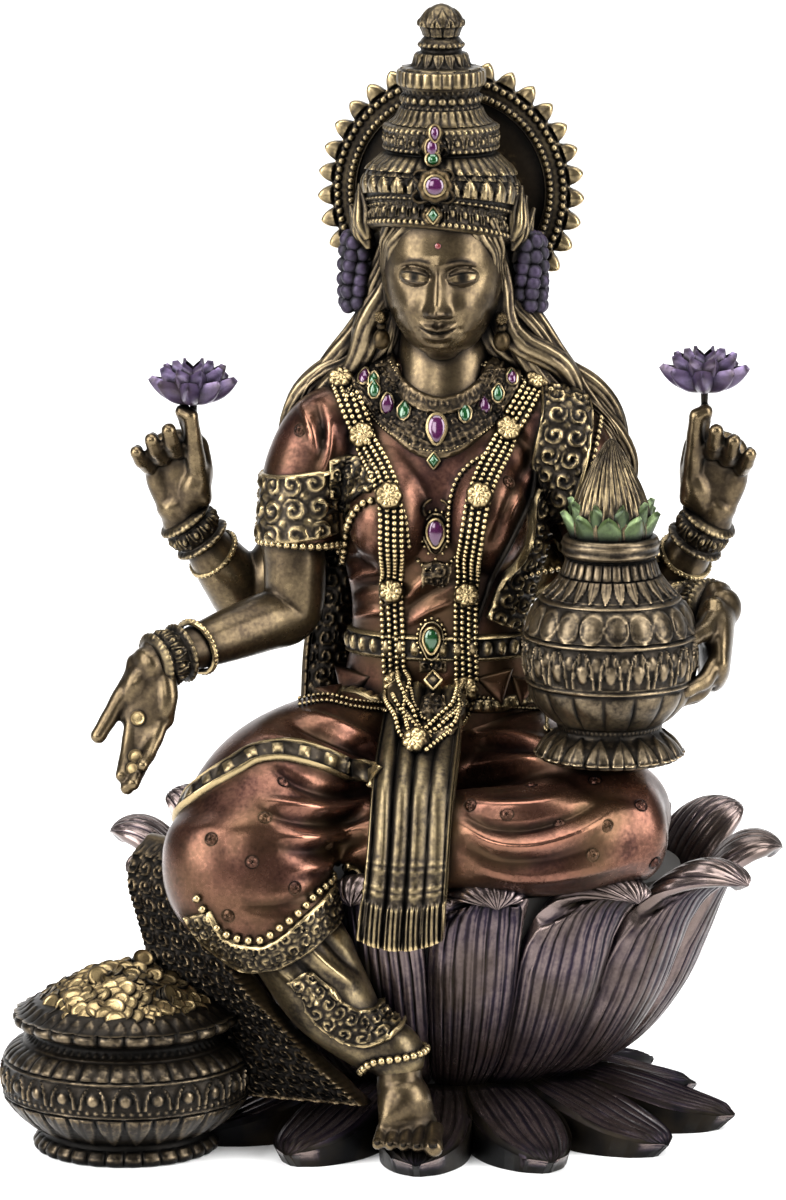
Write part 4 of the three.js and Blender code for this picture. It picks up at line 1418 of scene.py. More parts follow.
ears = []
for side in (-1, 1):
    x = side * 12.1 - 0.2
    ears.append(
        limb(
            [
                (x, -1, 190, 1.3, 2.2), (x + side * 0.8, -0.4, 187, 1.5, 3.0),
                (x + side * 0.4, -1.4, 183.5, 1.3, 2.2), (x, -2.2, 181, 1.2, 1.3)
            ],
            sides=24, rings=30, facing=(0, 1, 0)
        )
    )
place(meshObject("ears", *gathered(ears)), skinBronze, passes=6)

report("crown")
crownSet = {"middle": (-1.1, 1.2), "around": 288, "deeper": 1.06, "archFront": 4.6, "dropLeft": 1.4}


def crownForm():
    profile = [
        (14.6, 195.2), (16.0, 195.8), (16.3, 197.0), (15.9, 198.6), (15.9, 201.4), (16.4, 202.4),
        (16.4, 204.2), (16.7, 207.0), (15.9, 209.8), (14.4, 212.4), (12.4, 214.4), (11.9, 215.0),
        (12.3, 215.8), (12.4, 218.6), (12.2, 221.0), (10.6, 221.8), (9.6, 222.6), (8.4, 225.0),
        (8.3, 228.6), (9.0, 229.3), (9.2, 231.4), (8.8, 233.4), (6.2, 234.0), (5.3, 236.4), (4.5, 237.2),
        (4.8, 238.5), (4.3, 239.7), (3.6, 240.4), (4.2, 242.2), (4.4, 243.6), (3.4, 245.6), (1.6, 247.0),
        (0.3, 247.4),
    ]

    def wave(a, z, r):
        out = 0.9 * beadBand(a, z, r, 72, 196.9, 0.66) + 0.8 * beadBand(a, z, r, 72, 202.4, 0.6)
        out += 0.6 * rowOf(arches, a, z, 36, 197.9, 201.7)
        out += 1.1 * rowOf(leaves, a, z, 26, 203.9, 209.8)
        out += 0.9 * leaves(cells(a + 0.12, 26), share(z, 206.5, 212.6)) * within(z, 209.0, 212.6) * 0.7
        out += 0.8 * rowOf(flutes, a, z, 44, 210.5, 214.6)
        out += 0.7 * beadBand(a, z, r, 52, 216.2, 0.66) + 0.7 * beadBand(a, z, r, 52, 220.6, 0.62)
        out += 0.55 * rowOf(arches, a, z, 24, 216.9, 220.0)
        out += 0.7 * rowOf(flutes, a, z, 34, 221.6, 224.9)
        out += (
            0.9 * beadBand(a, z, r, 24, 226.8, 1.05) + 0.6 * beadBand(a, z, r, 40, 225.2, 0.5)
            + 0.6 * beadBand(a, z, r, 40, 228.5, 0.5)
        )
        out += 0.6 * rowOf(flutes, a, z, 26, 229.6, 233.0)
        out += 0.6 * rowOf(leaves, a, z, 14, 233.4, 236.8, hanging=True)
        out += 0.6 * beadBand(a, z, r, 20, 238.4, 0.7)
        out += 0.6 * rowOf(leaves, a, z, 9, 240.4, 244.6)
        out += 0.5 * rowOf(leaves, a + 0.35, z, 9, 242.4, 246.4)
        return out

    verts, faces = turned(profile, (*crownSet["middle"], 0.0), sides=crownSet["around"], rows=300, wave=wave)
    fromMiddle = verts[:, 1] - crownSet["middle"][1]
    # flatter where it meets the halo
    verts[:, 1] = crownSet["middle"][1] + fromMiddle * np.where(fromMiddle < 0, crownSet["deeper"], 0.97)
    away = unit(verts[:, :2] - crownSet["middle"])
    lift = crownSet["archFront"] * clamp(-away[:, 1]) - crownSet["dropLeft"] * away[:, 0]
    verts[:, 2] += lift * clamp((216 - verts[:, 2]) / 15)
    return verts, faces


crownObj = cast("crown", crownForm())
place(crownObj, bronze, passes=5, scale=0.28)
crownSkin = skinOf(crownObj, headObj)

wings = []
for side in (-1, 1):
    for reach, lean, lift in ((0.0, 0.0, 0.0), (1.6, 2.0, -3.0), (-0.8, -2.0, 2.4)):
        rows = [
            (side * 15.8 - 1, -1.5 + lean, 194 + lift, 1.0, 1.0),
            (side * (16.8 + reach * 0.3) - 1, -1.4 + lean, 197.0 + lift, 2.0, 1.1),
            (side * (17.2 + reach * 0.5) - 1, -0.6 + lean, 200.5 + lift, 1.8, 1.0),
            (side * (18.6 + reach) - 1, 0.8 + lean, 205.4 + lift, 0.4, 0.4),
        ]
        wings.append(
            limb(
                rows, sides=36, rings=40, facing=(0, 1, 0),
                swell=lambda t, a: 0.5 * np.abs(np.cos(3 * a)) * math.sin(min(1, t * 1.1) * math.pi)
            )
        )
place(cast("crownLeaves", gathered(wings)), bronze, passes=5, scale=0.3)

report("halo")
haloSet = {"middle": (-0.5, 16.2, 204.1), "reach": 26.4, "point": 3.2, "points": 33, "thickness": 3.0}


def haloForm():
    x0, y0, z0 = haloSet["middle"]
    sides = haloSet["points"] * 20
    a = np.arange(sides) / sides * turn
    tooth = dome(np.abs(cells(a, haloSet["points"]) * 1.2) ** 1.5) ** 1.3
    outer = haloSet["reach"] + haloSet["point"] * tooth
    rows = [0.001, 4, 8, 12, 16, 19, 20.6]
    rings = [(r * np.ones(sides), 1.5 * np.ones(sides)) for r in rows]
    for r in np.arange(21.0, 26.2, 0.22):
        wide = (
            beadBand(a, np.full(sides, r), r, 96, 22.2, 0.75)
            + beadBand(a, np.full(sides, r), r, 84, 25.0, 0.85) * 1.1
        )
        rings.append((r * np.ones(sides), 0.2 - wide * 0.9 - 0.5 * (21.3 < r < 25.9)))
    for t in np.linspace(0.1, 1, 9):
        r = haloSet["reach"] + (outer - haloSet["reach"]) * t
        rings.append((r, 0.3 - 0.9 * dome(t**2) * tooth))
    front = len(rings)
    for t in (1.0, 0.6, 0.2):
        rings.append(
            (haloSet["reach"] + (outer - haloSet["reach"]) * t, np.full(sides, haloSet["thickness"] - 0.6))
        )
    for r in (25.0, 20, 12, 0.001):
        rings.append((r * np.ones(sides), np.full(sides, haloSet["thickness"])))
    verts = np.concatenate([np.stack([x0 + r * np.sin(a), y0 + y, z0 + r * np.cos(a)], -1) for r, y in rings])
    return verts, ringFaces(len(rings), sides)


place(mend(meshObject("halo", *haloForm()), 0.002), bronze, passes=5, scale=0.3)

report("hair")
# darker patina left between the strands
hairBronze = castFinish("hairBronze", "#040302", "#241d16", "#86765a", roughness=0.34)
hairSet = {"locksRight": 13, "locksLeft": 13, "locksBack": 17}


def lock(path, radius, phase, ridges=7, wave=1.7, flat=0.75, sides=42, rings=84):
    path = np.asarray(path, float)
    rows, _ = pathOf(path, 14)
    n = len(rows)
    t = np.linspace(0, 1, n)
    side = unit(np.cross(np.gradient(rows[:, :3], axis=0), [0, 1.0, 0.2]))
    rows[:, :3] += side * (wave * np.sin(t * 13 + phase) * clamp(t * 3))[:, None]
    rows[:, 1] += 0.5 * wave * np.cos(t * 8 + phase)
    width = radius * (0.85 + 0.35 * np.sin(t * math.pi)) * (1 - 0.72 * t**3)
    rows = [(*p[:3], w, w * flat) for p, w in zip(rows, width)]
    twist = lambda s, a: (
        0.62 * np.abs(np.cos((a * ridges + s * 9 + 1.2 * math.sin(s * 16 + phase)) / 2)) ** 0.6
        * (1 - 0.4 * s)
        - 0.28
    )
    return limb(rows, sides=sides, rings=rings, facing=(0, 1, 0.01), swell=twist)


def hairForms():
    sets = []
    right = np.array(
        [
            at(-9.5, -2.0, 134), at(-12.2, 2, 122), at(-17, 4.0, 107), at(-27, 5.5, 96), at(-35.5, 7.0, 80),
            at(-38.0, 9.0, 60)
        ]
    )
    left = np.array(
        [
            at(8.5, -2.0, 134), at(11.4, 2, 122), at(17, 2.0, 109), at(28, 3.5, 98.5), at(36.4, 5.0, 85),
            at(38.2, 7.0, 66)
        ]
    )
    for master, count, sign in ((right, hairSet["locksRight"], -1), (left, hairSet["locksLeft"], 1)):
        parts = []
        for k in range(count):
            a = k / count * turn
            spread = np.array([0.55, 0.9, 1.1, 1.05, 0.75, 0.3])[:, None]
            shift = np.array([sign * 3.0 * math.cos(a), 3.4 * math.sin(a), 3.2 * math.cos(a + 0.8)])
            last = 5 if k % 3 else 6
            parts.append(lock((master + spread * shift)[:last], 2.2 + 0.5 * math.sin(k * 2.1), k * 1.9))
        sets.append(parts)
    mane = []
    for k in range(hairSet["locksBack"]):
        f = k / (hairSet["locksBack"] - 1) * 2 - 1
        long = 1 - 0.3 * abs(f) ** 2 + 0.08 * math.sin(k * 2.7)
        y = lambda base, bow: base - bow * f * f
        rows = [
            at(f * 8 - 1, y(10, 3), 136), at(f * 15 - 1, y(15, 7), 118), at(f * 22 - 1, y(17, 9), 98),
            at(f * 21 - 1, y(19.5, 7), 98 - 32 * long), at(f * 14 - 1, y(20.5, 5), 98 - 62 * long)
        ]
        mane.append(lock(rows, 2.9, k * 2.3, wave=1.1, flat=0.9))
    filler = limbAt(
        [
            (-1, 7, 138, 10, 7), (-1, 8, 118, 15, 8), (-1, 11, 96, 21, 7), (-1, 13, 66, 19, 5),
            (-1, 14, 44, 11, 4)
        ],
        sides=48, rings=50
    )
    sets.append(mane + [filler])
    return sets


for name, parts in zip(("hairOverRight", "hairOverLeft", "hairDownBack"), hairForms()):
    place(cast(name, gathered(parts)), hairBronze, passes=5, scale=0.3)

fringe = []
for side in (-1, 1):
    for k in range(4):
        rows = [
            (side * (3.0 + 2.6 * k) - 0.2, -13.2 + 1.1 * k, 202.4 - 0.3 * k),
            (side * (8.0 + 1.4 * k) - 0.2, -11.2 + 1.5 * k, 199.0 - 0.8 * k),
            (side * (11.2 + 0.5 * k) - 0.2, -7.9 + 1.6 * k, 193.0 - k),
            (side * (12.4 + 0.3 * k) - 0.2, -4.6 + 1.4 * k, 185.5 - k)
        ]
        fringe.append(lock(rows, 1.15, k + side, ridges=4, wave=0.15, sides=20, rings=50))
place(cast("hairAtBrow", gathered(fringe)), hairBronze, passes=4, scale=0.25)

report("pots")
waterPotSet = {"rows": 300, "around": 330}
coinPotSet = {"middle": (-66.0, -40.5), "rows": 240, "around": 360, "coins": 190, "heapReach": 19.4}
goldenAngle = 2.39996  # spreads the coins evenly over the heap


def waterPot():
    x, y, z0 = potAxis
    profile = [
        (12.0, 0.0), (14.9, 0.4), (15.2, 1.6), (13.6, 4.2), (11.4, 6.2), (11.2, 7.2), (13.2, 9.6),
        (16.2, 13.6), (18.0, 18.2), (18.6, 23.0), (18.4, 27.0), (17.6, 30.6), (16.4, 33.6), (13.4, 37.0),
        (10.6, 40.4), (9.4, 43.6), (9.3, 44.6), (10.3, 45.2), (10.4, 48.6), (9.8, 49.2), (8.6, 49.0),
        (8.2, 46.0), (0.3, 45.5),
    ]

    def wave(a, z, r):
        out = 0.9 * rowOf(leaves, a, z, 17, 1.0, 6.4)
        out += 0.6 * rowOf(flutes, a, z, 34, 0.1, 1.6)
        out += 0.55 * beadBand(a, z, r, 70, 7.3, 0.5)
        out += 1.2 * dome(cells(a, 16) ** 2) * np.sin(clamp(share(z, 8.4, 16.6)) * math.pi) ** 0.5
        for level in (17.4, 27.5, 35.6):
            out += 0.75 * hump(z - level, 0.42) + 0.3 * hump(z - level - 0.9, 0.2)
        out += 0.75 * rowOf(arches, a, z, 19, 18.6, 26.6)
        out += 0.5 * rowOf(arches, a + turn / 38, z, 19, 20.2, 26.6, hanging=True)
        out += 0.8 * np.sqrt(clamp(1 - (cells(a, 20) / 0.8) ** 2 - (share(z, 28.6, 34.6) * 2 - 1) ** 2))
        ring = np.hypot(cells(a, 20) / 0.9, share(z, 28.6, 34.6) * 2 - 1)
        out += 0.5 * hump(ring - 1.0, 0.14) * within(z, 28.2, 35.0)
        out += 0.8 * rowOf(leaves, a, z, 26, 36.2, 40.6, hanging=True)
        out += 0.6 * rowOf(flutes, a, z, 30, 40.8, 44.2)
        out += 0.15 * np.sin(z * 3.2) * within(z, 45.6, 48.4)
        return out

    return turned(profile, (x, y, z0), sides=waterPotSet["around"], rows=waterPotSet["rows"], wave=wave)


waterPotObj = cast("waterPot", waterPot())
place(waterPotObj, potBronze, passes=6, scale=0.27)


def coconut():
    x, y, z0 = potAxis
    profile = [
        (0.3, 44.5), (6.6, 45.0), (8.4, 49.5), (8.5, 53.5), (7.3, 58.0), (5.0, 63.0), (2.6, 67.4),
        (0.9, 69.8), (0.2, 70.4)
    ]
    wave = lambda a, z, r: (
        0.3 * np.abs(np.cos(a * 17 + 0.5 * np.sin(z * 0.4))) ** 0.7 + 0.16 * np.abs(np.sin(a * 29 + 0.4 * z))
        - 0.2
    )
    return turned(profile, (x, y, z0), sides=220, rows=90, wave=wave)


place(cast("coconut", coconut()), bronze, passes=5, scale=0.3)


# a leaf or small petal: a curved pointed blade standing out of a middle
def blade(foot, out, up, length, width, curl, cup=0.5, thickness=0.5, rows=14, across=9, ribs=1):
    out, up = unit(out), unit(up)
    side = unit(np.cross(up, out))
    v = np.linspace(0, 1, rows)[:, None]
    u = np.linspace(-1, 1, across)[None]
    lean = curl[0] + (curl[1] - curl[0]) * v
    step = length / (rows - 1)
    way = np.cos(lean)[..., None] * up + np.sin(lean)[..., None] * out
    spine = np.asarray(foot, float) + np.concatenate([np.zeros((1, 3)), np.cumsum(way[:-1, 0] * step, 0)])
    face = np.sin(lean) * up - np.cos(lean) * out
    half = width / 2 * np.sin(clamp(v * 0.9 + 0.16) ** 0.8 * math.pi) ** 0.8 + 0.05
    bowl = cup * width * (u**2 - 0.4) * np.sin(v * math.pi * 0.9 + 0.2) * 0.5
    vein = -0.12 * hump(u, 0.15) * ribs - 0.06 * np.abs(np.cos(u * 7)) * ribs
    top = (
        spine[:, None] + side * (u * half)[..., None] + face[:, None] * (bowl + vein)[..., None]
        + face[:, None] * thickness / 2
    )
    low = (
        spine[:, None] + side * (u * half)[..., None] + face[:, None] * bowl[..., None]
        - face[:, None] * thickness / 2
    )
    return closedSheet(top, low)


mangoLeaves = []
mouth = potAxis + (0, 0, 47.0)
for k in range(9):
    a = k / 9 * turn + 0.2
    mangoLeaves.append(
        blade(
            mouth + np.array([math.cos(a), math.sin(a), 0]) * 6.4, (math.cos(a), math.sin(a), 0), (0, 0, 1),
            10.6, 7.4, (0.12, 0.42), thickness=1.0, rows=20, across=13
        )
    )
for k in range(9):
    a = (k + 0.5) / 9 * turn + 0.2
    mangoLeaves.append(
        blade(
            mouth + np.array([math.cos(a), math.sin(a), 0]) * 6.9, (math.cos(a), math.sin(a), 0), (0, 0, 1),
            8.6, 6.4, (0.3, 0.62), thickness=1.0, rows=20, across=13
        )
    )
place(cast("mangoLeaves", gathered(mangoLeaves)), leafGreen, passes=4, scale=0.3)


def coinPot():
    profile = [
        (14.0, 0.0), (19.2, 0.2), (19.8, 1.6), (18.6, 3.4), (18.4, 4.4), (21.4, 6.6), (25.2, 10.6),
        (26.8, 13.6), (27.1, 16.4), (26.8, 19.6), (24.8, 22.6), (21.6, 24.6), (20.6, 26.0), (21.4, 27.4),
        (23.4, 28.4), (23.7, 29.4), (23.2, 30.2), (21.6, 31.4), (19.6, 33.0), (0.3, 33.6),
    ]

    def wave(a, z, r):
        out = 0.8 * rowOf(flutes, a, z, 30, 0.2, 3.4)
        out += 1.0 * rowOf(leaves, a, z, 26, 4.6, 12.4, hanging=True)
        for level in (12.9, 20.3, 24.4):
            out += 0.6 * hump(z - level, 0.4)
        out += 0.7 * beadBand(a, z, r, 88, 13.9, 0.6)
        out += 0.85 * rowOf(arches, a, z, 24, 14.6, 20.0)
        out += 0.7 * rowOf(flutes, a, z, 48, 20.8, 24.0)
        out += 0.7 * beadBand(a, z, r, 70, 25.4, 0.6)
        out += 1.2 * rowOf(flutes, a, z, 26, 27.4, 30.6)
        out += 0.6 * rowOf(leaves, a, z, 40, 30.4, 33.0)
        return out

    return turned(profile, (*coinPotSet["middle"], 0.0), coinPotSet["around"], coinPotSet["rows"], wave)


coinPotObj = cast("coinPot", coinPot())
place(coinPotObj, potBronze)
# painted shade: the whole coin pot is darkened, as it stands low at the front left where shade falls
markRelief(coinPotObj, 6, 0.3, add=-0.22)


def coinShape(sides=16):
    a = np.arange(sides) / sides * turn
    rows = [(0.55, 0.28), (0.78, 0.28), (0.86, 0.42), (0.97, 0.4), (1.0, 0.2), (1.0, -0.2), (0.9, -0.4)]
    verts = np.concatenate(
        [np.stack([r * np.cos(a), r * np.sin(a), np.full(sides, h)], -1) for r, h in rows]
        + [[[0, 0, 0.38], [0, 0, -0.4]]]
    )
    faces = ringFaces(len(rows), sides)
    n, low = len(verts), (len(rows) - 1) * sides
    faces += (
        [[n - 2, j, (j + 1) % sides] for j in range(sides)]
        + [[n - 1, low + (j + 1) % sides, low + j] for j in range(sides)]
    )
    return verts, faces


def coinHeap():
    shape, shapeFaces = coinShape()
    parts = []
    middle, count, widest = np.array(coinPotSet["middle"]), coinPotSet["coins"], coinPotSet["heapReach"]
    for k in range(count):
        reach = widest * math.sqrt((k + 0.5) / count)
        a = k * goldenAngle
        slope = 0.9 * reach / widest
        rise = 32.2 + 8.4 * (1 - (reach / 20.0) ** 1.7)
        lean = np.array(
            [
                math.cos(a) * slope + 0.34 * randomDraw.normal(),
                math.sin(a) * slope - 0.25 + 0.34 * randomDraw.normal(), 1.2
            ]
        )
        side, top, n = frameOf(lean, up=(0.1, 1, 0.2))
        size = 2.25 * (0.85 + 0.3 * randomDraw.random())
        spot = np.array(
            [
                middle[0] + math.cos(a) * reach, middle[1] + math.sin(a) * reach,
                rise - 0.6 + 0.5 * randomDraw.random()
            ]
        )
        parts.append((turnedTo(shape * (size, size, 1.2), side, top, n) + spot, shapeFaces))
    rolls = [
        (9.5, -9.0, (0.9, -0.3, 0.5), 0.6), (-5.5, -5.0, (0.2, -1, 0.6), 1.4), (3, 3, (0.4, -0.7, 0.9), 2.4)
    ]
    for dx, dy, lean, lift in rolls:  # stacks of coins that lean out of the heap
        side, top, n = frameOf(lean, up=(0.1, 1, 0.2))
        foot = np.array([middle[0] + dx, middle[1] + dy, 38.2 + lift - (dx * dx + dy * dy) * 0.018])
        for j in range(5):
            spot = foot + n * (j * 0.75 - 1.2) + side * 0.3 * (j % 2)
            parts.append((turnedTo(shape * (2.3, 2.3, 0.9), side, top, n) + spot, shapeFaces))
    mound = turned(
        [(0.3, 30.0), (20.0, 30.4), (19.4, 32.0), (14.0, 35.6), (7.0, 38.4), (0.3, 39.4)],
        (middle[0], middle[1], 0), sides=60, rows=30
    )
    return parts, mound


coinParts, mound = coinHeap()
place(cast("coinMound", mound), umberAndShade, passes=4)
place(meshObject("coins", *gathered(coinParts)), coinGold, passes=3, scale=0.3)

palmCoins = []
shape, shapeFaces = coinShape(24)
for px, py, size in ((138, 718, 1.7), (136, 757, 1.7), (133, 769, 1.5)):
    spot, normal = seen(px, py, skinOf(skinObj))
    side, top, n = frameOf(normal * 0.25 + np.array([0.1, -0.97, 0.16]) * 0.75)
    palmCoins.append((turnedTo(shape * (size, size, 1.1), side, top, n) + spot + n * 0.35, shapeFaces))
place(meshObject("palmCoins", *gathered(palmCoins)), coinGold, passes=3, scale=0.3)

report("held flowers")


def heldFlower(middle):
    parts = [ball(middle + np.array([0, 0, 0.6]), (2.2, 2.2, 1.8), 20, 12)]
    for count, reach, length, width, curl, rise, start in (
        (8, 1.2, 9.8, 6.0, (1.25, 0.78), 0.0, 0.0),
        (8, 1.0, 9.4, 5.6, (0.95, 0.42), 0.6, 0.39),
        (6, 0.8, 8.6, 5.0, (0.6, 0.1), 1.0, 0.1),
    ):
        for k in range(count):
            a = k / count * turn + start
            out = np.array([math.cos(a), math.sin(a), 0])
            parts.append(
                blade(
                    middle + out * reach + (0, 0, rise), out, (0, 0, 1), length, width, curl, cup=0.95,
                    thickness=1.1, rows=16, across=11
                )
            )
    return parts


flowerSpots = [np.array(at(-55.9, 0, 97.0)), np.array(at(57.0, 0, 101.6))]
for name, spot in zip(("flowerRight", "flowerLeft"), flowerSpots):
    place(cast(name, gathered(heldFlower(spot))), violetBloom, passes=4, scale=0.35)
    stem = limb(
        [(*(spot + (0, 0.4, 1)), 0.9), (*(spot + (0, 0.6, -5)), 0.7), (*(spot + (0, 0.4, -9)), 0.6)],
        sides=12, rings=20
    )
    place(meshObject(name + "Stem", *stem), bronze, passes=2)


report("jewellery")
gold, bronzeWork, darkWork, red, green, roses = [], [], [], [], [], []
dressSkin = skinOf(skinObj, blouseObj, skirtObj, panelObj, underObj)
torsoSkin = skinOf(blouseObj, panelObj, skirtObj)


# points round a limb or the waist
def ovalRing(x, y, z, wide, deep, ends=(-math.pi, math.pi), count=22):
    return [(x + wide * math.cos(a), y + deep * math.sin(a), z) for a in np.linspace(*ends, count)]


def shifted(pixels, offset):
    path, _ = pathOf([(x, y, 0.0) for x, y in pixels], 24)
    way = unit(np.gradient(path[:, :2], axis=0))
    return np.column_stack([path[:, 0] - way[:, 1] * offset, path[:, 1] + way[:, 0] * offset])


def raised(points, lift, skin):
    return np.array([p + n * lift for p, n in (nearest(q, skin) for q in points)])


def onSkin(pixels, skin):
    return np.array([seen(x, y, skin)[0] for x, y in pixels])


def drawnBeads(line, skin, lift, radius, **more):
    return beadLine(raised(seenLine(line, skin), lift, skin), radius, **more)


garlands = [
    [
        (342, 383), (352, 408), (362, 432), (377, 462), (389, 497), (391, 545), (393, 591), (395, 640),
        (397, 683), (403, 715), (420, 745)
    ],
    [
        (535, 383), (522, 408), (509, 430), (492, 465), (480, 497), (472, 545), (466, 593), (465, 640),
        (465, 688), (455, 718), (420, 745)
    ],
]
for strand in garlands:
    middle = onSkin(shifted(strand, 0), torsoSkin)
    darkWork.append(band(middle, 2.7, lambda s, x: 0.35, skin=torsoSkin, pitch=0.6))
    for offset in (-9.6, -3.2, 3.2, 9.6):
        line = onSkin(shifted(strand, offset), torsoSkin)
        gold.append(beadLine(raised(line, 1.0, torsoSkin), 0.62, gap=2.1))

for px, py, size in [
    (342, 384, 2.9), (362, 434, 2.8), (389, 497, 2.9), (393, 591, 2.7), (397, 683, 2.8), (419, 744, 3.0),
    (535, 383, 2.7), (509, 430, 2.8), (480, 497, 2.8), (466, 593, 2.6), (465, 688, 2.7)
]:
    spot, normal = seen(px, py, torsoSkin)
    normal = unit(unit(normal) + camBack * 0.8)
    roses.append(rosette(spot + normal * 1.7, normal, size * 1.08, petals=7, rise=0.95))

# the collar: its front as the picture shows it, and round the back of the neck
collarLine = [
    (364, 352), (368, 374), (382, 396), (406, 417), (437, 430), (466, 418), (489, 398), (504, 376), (510, 354)
]
collarPoints = onSkin(collarLine, torsoSkin)
collarRelief = lambda s, x: (
    0.75 + 0.45 * scrolls(s, x + 20, 2.3) + 0.45 * np.abs(np.sin(s * 2.6)) * (np.abs(np.abs(x) - 3.2) < 0.5)
)
darkWork.append(
    band(collarPoints, [3.6, 4.2, 4.8, 5.6, 6.8, 5.6, 4.8, 4.2, 3.6], collarRelief, skin=torsoSkin, passes=4)
)
neckSkin = skinOf(bpy.data.objects["neck"], blouseObj)
closeCollar = [(388, 361), (397, 382), (415, 398), (441, 406), (466, 399), (485, 384), (496, 363)]
darkWork.append(band(onSkin(closeCollar, neckSkin), 2.1, collarRelief, skin=neckSkin, passes=4))
ring = ovalRing(-0.8, -0.5, 96.5 + seat, 12.6, 10.5, (-0.5, math.pi + 0.5), 14)
darkWork.append(band(ring, 3.6, collarRelief, skin=torsoSkin, passes=4))
for offset, size in ((-26, 0.42), (22, 0.4)):
    line = onSkin(shifted(collarLine, offset), torsoSkin)
    bronzeWork.append(beadLine(raised(line, 0.8, torsoSkin), size))


def setStone(
    px, py, size, kind, outline=None, skin=None, lift=0.9, upside=False, rim=0.3, rise=0.8, goldRim=True
):
    spot, normal = seen(px, py, skin or torsoSkin)
    normal = unit(unit(normal) + camBack * 0.5)
    stone, loop = stoneAndRim(spot + normal * lift, normal, size, outline, rise, rim, upside)
    kind.append(stone)
    (gold if goldRim else bronzeWork).append(loop)
    return spot, normal


for px, py, size, kind in [
    (365, 368, 1.4, green), (366, 380, 1.5, red), (375, 391, 1.5, green), (387, 404, 1.9, red),
    (406, 413, 1.8, green), (464, 415, 1.7, green), (485, 406, 1.8, red), (499, 394, 1.5, green),
    (511, 380, 1.4, red), (515, 367, 1.2, green)
]:
    setStone(px, py, size, kind, dropOutline, lift=1.1, upside=True, goldRim=False)
setStone(437, 428, 2.6, red, dropOutline, lift=1.3, rim=0.4)
setStone(434, 461, 1.5, green, lozengeOutline, lift=0.8)
for dx in (-1, 1):
    for centre, size, curl in (
        (434, 0.36, ((3, 449), (9, 447), (13, 451), (10, 456), (6, 453))),
        (436, 0.34, ((6, 500), (12, 503), (16, 510), (13, 515))),
    ):
        points = onSkin([(centre + dx * x, y) for x, y in curl], torsoSkin)
        gold.append(cord(points, size, lift=2.0, skin=torsoSkin))
for px, py, size, kind in ((436, 531, 2.4, red), (432, 638, 2.2, green)):
    spot, normal = setStone(px, py, size, kind, dropOutline, lift=1.3, rim=0.36)
    side, top, n = frameOf(normal)
    a = np.linspace(0, turn, 41)[:-1]
    for grow, thick in ((1.5, 0.3), (2.3, 0.0)):
        reach = (size + grow) * dropOutline(a)
        loop = spot + n * 0.8 + reach[:, None] * (np.cos(a)[:, None] * side + np.sin(a)[:, None] * top)
        if thick:
            bronzeWork.append(hoop(loop, thick))
        else:
            gold.append(beadsAt(loop[::2], 0.42))
setStone(433, 684, 2.0, bronzeWork, lozengeOutline, lift=1.0, rim=0.4)
for centre, half in (((436, 575), 3.4), ((433, 660), 3.0), ((433, 705), 3.4)):
    points = [seen(centre[0] + dx, centre[1], torsoSkin)[0] for dx in (-13, 0, 13)]
    darkWork.append(band(points, half, lambda s, x: 0.3 + 0.6 * scrolls(s, x, 2.6), skin=torsoSkin))
for line in (
    [(412, 690), (416, 710), (434, 724), (452, 712), (460, 692)],
    [(404, 700), (412, 722), (432, 735), (452, 724), (462, 702)],
    [(300, 706), (325, 702), (355, 708), (388, 712)],
    [(300, 700), (325, 696), (355, 702), (388, 705)],
    [(474, 702), (505, 706), (545, 708), (556, 704)],
    [(474, 696), (505, 700), (545, 702)],
    [(418, 560), (430, 570), (446, 566), (456, 556)],
):
    bronzeWork.append(drawnBeads(line, torsoSkin, 0.45, 0.5))

# belts round the waist and the hips
belt = ovalRing(-1, 1.0, 106.5, 21.5, 13.6, (-math.pi / 2, 1.5 * math.pi), 28)
drops = lambda s, x: np.sqrt(clamp(1 - (((s / 3.4) % 1 - 0.5) / 0.36) ** 2 - (x / 1.9) ** 2))
beltRelief = lambda s, x: 0.4 + 1.1 * drops(s, x) + 0.5 * (np.abs(np.abs(x) - 2.6) < 0.35)
bronzeWork.append(band(belt, 3.1, beltRelief, skin=torsoSkin, passes=2))
hips = [
    (-1 + 25 * math.cos(a), 3.0 + 16.6 * math.sin(a), 95.0 + 1.2 * math.cos(3 * a))
    for a in np.linspace(-math.pi / 2, 1.5 * math.pi, 28)
]
bronzeWork.append(
    band(
        hips, 1.9, lambda s, x: 0.4 + 0.7 * np.abs(np.sin(s * 1.4)) * clamp(1.6 - np.abs(x)), skin=torsoSkin,
        passes=2
    )
)

# sleeve borders
sleeve = [
    (-31.3 + 9.4 * math.cos(a), -3.2 + 9.6 * math.sin(a), 137.5 + 1.0 * math.cos(a))
    for a in np.linspace(-math.pi, math.pi, 22)
]
sleeveRelief = lambda s, x: (
    0.12 + 0.75 * scrolls(s, x + 30.5, 5.6) * (np.abs(x) < 6.6) + 0.45 * (np.abs(np.abs(x) - 7.1) < 0.4)
)
bronzeWork.append(band(sleeve, 7.7, sleeveRelief, skin=skinOf(blouseObj), passes=2))
hem = ovalRing(-32, -3.8, 128.6, 9.6, 9.8)
bronzeWork.append(beadLine(raised(hem, 0.3, torsoSkin), 0.95, gap=1.8, shape=beadShape))
sleeve = ovalRing(37.6, 4.4, 127.0, 9.2, 9.2)
bronzeWork.append(
    band(sleeve, 3.0, lambda s, x: 0.5 + 0.8 * scrolls(s, x + 12, 3.6), skin=skinOf(blouseObj), passes=2)
)

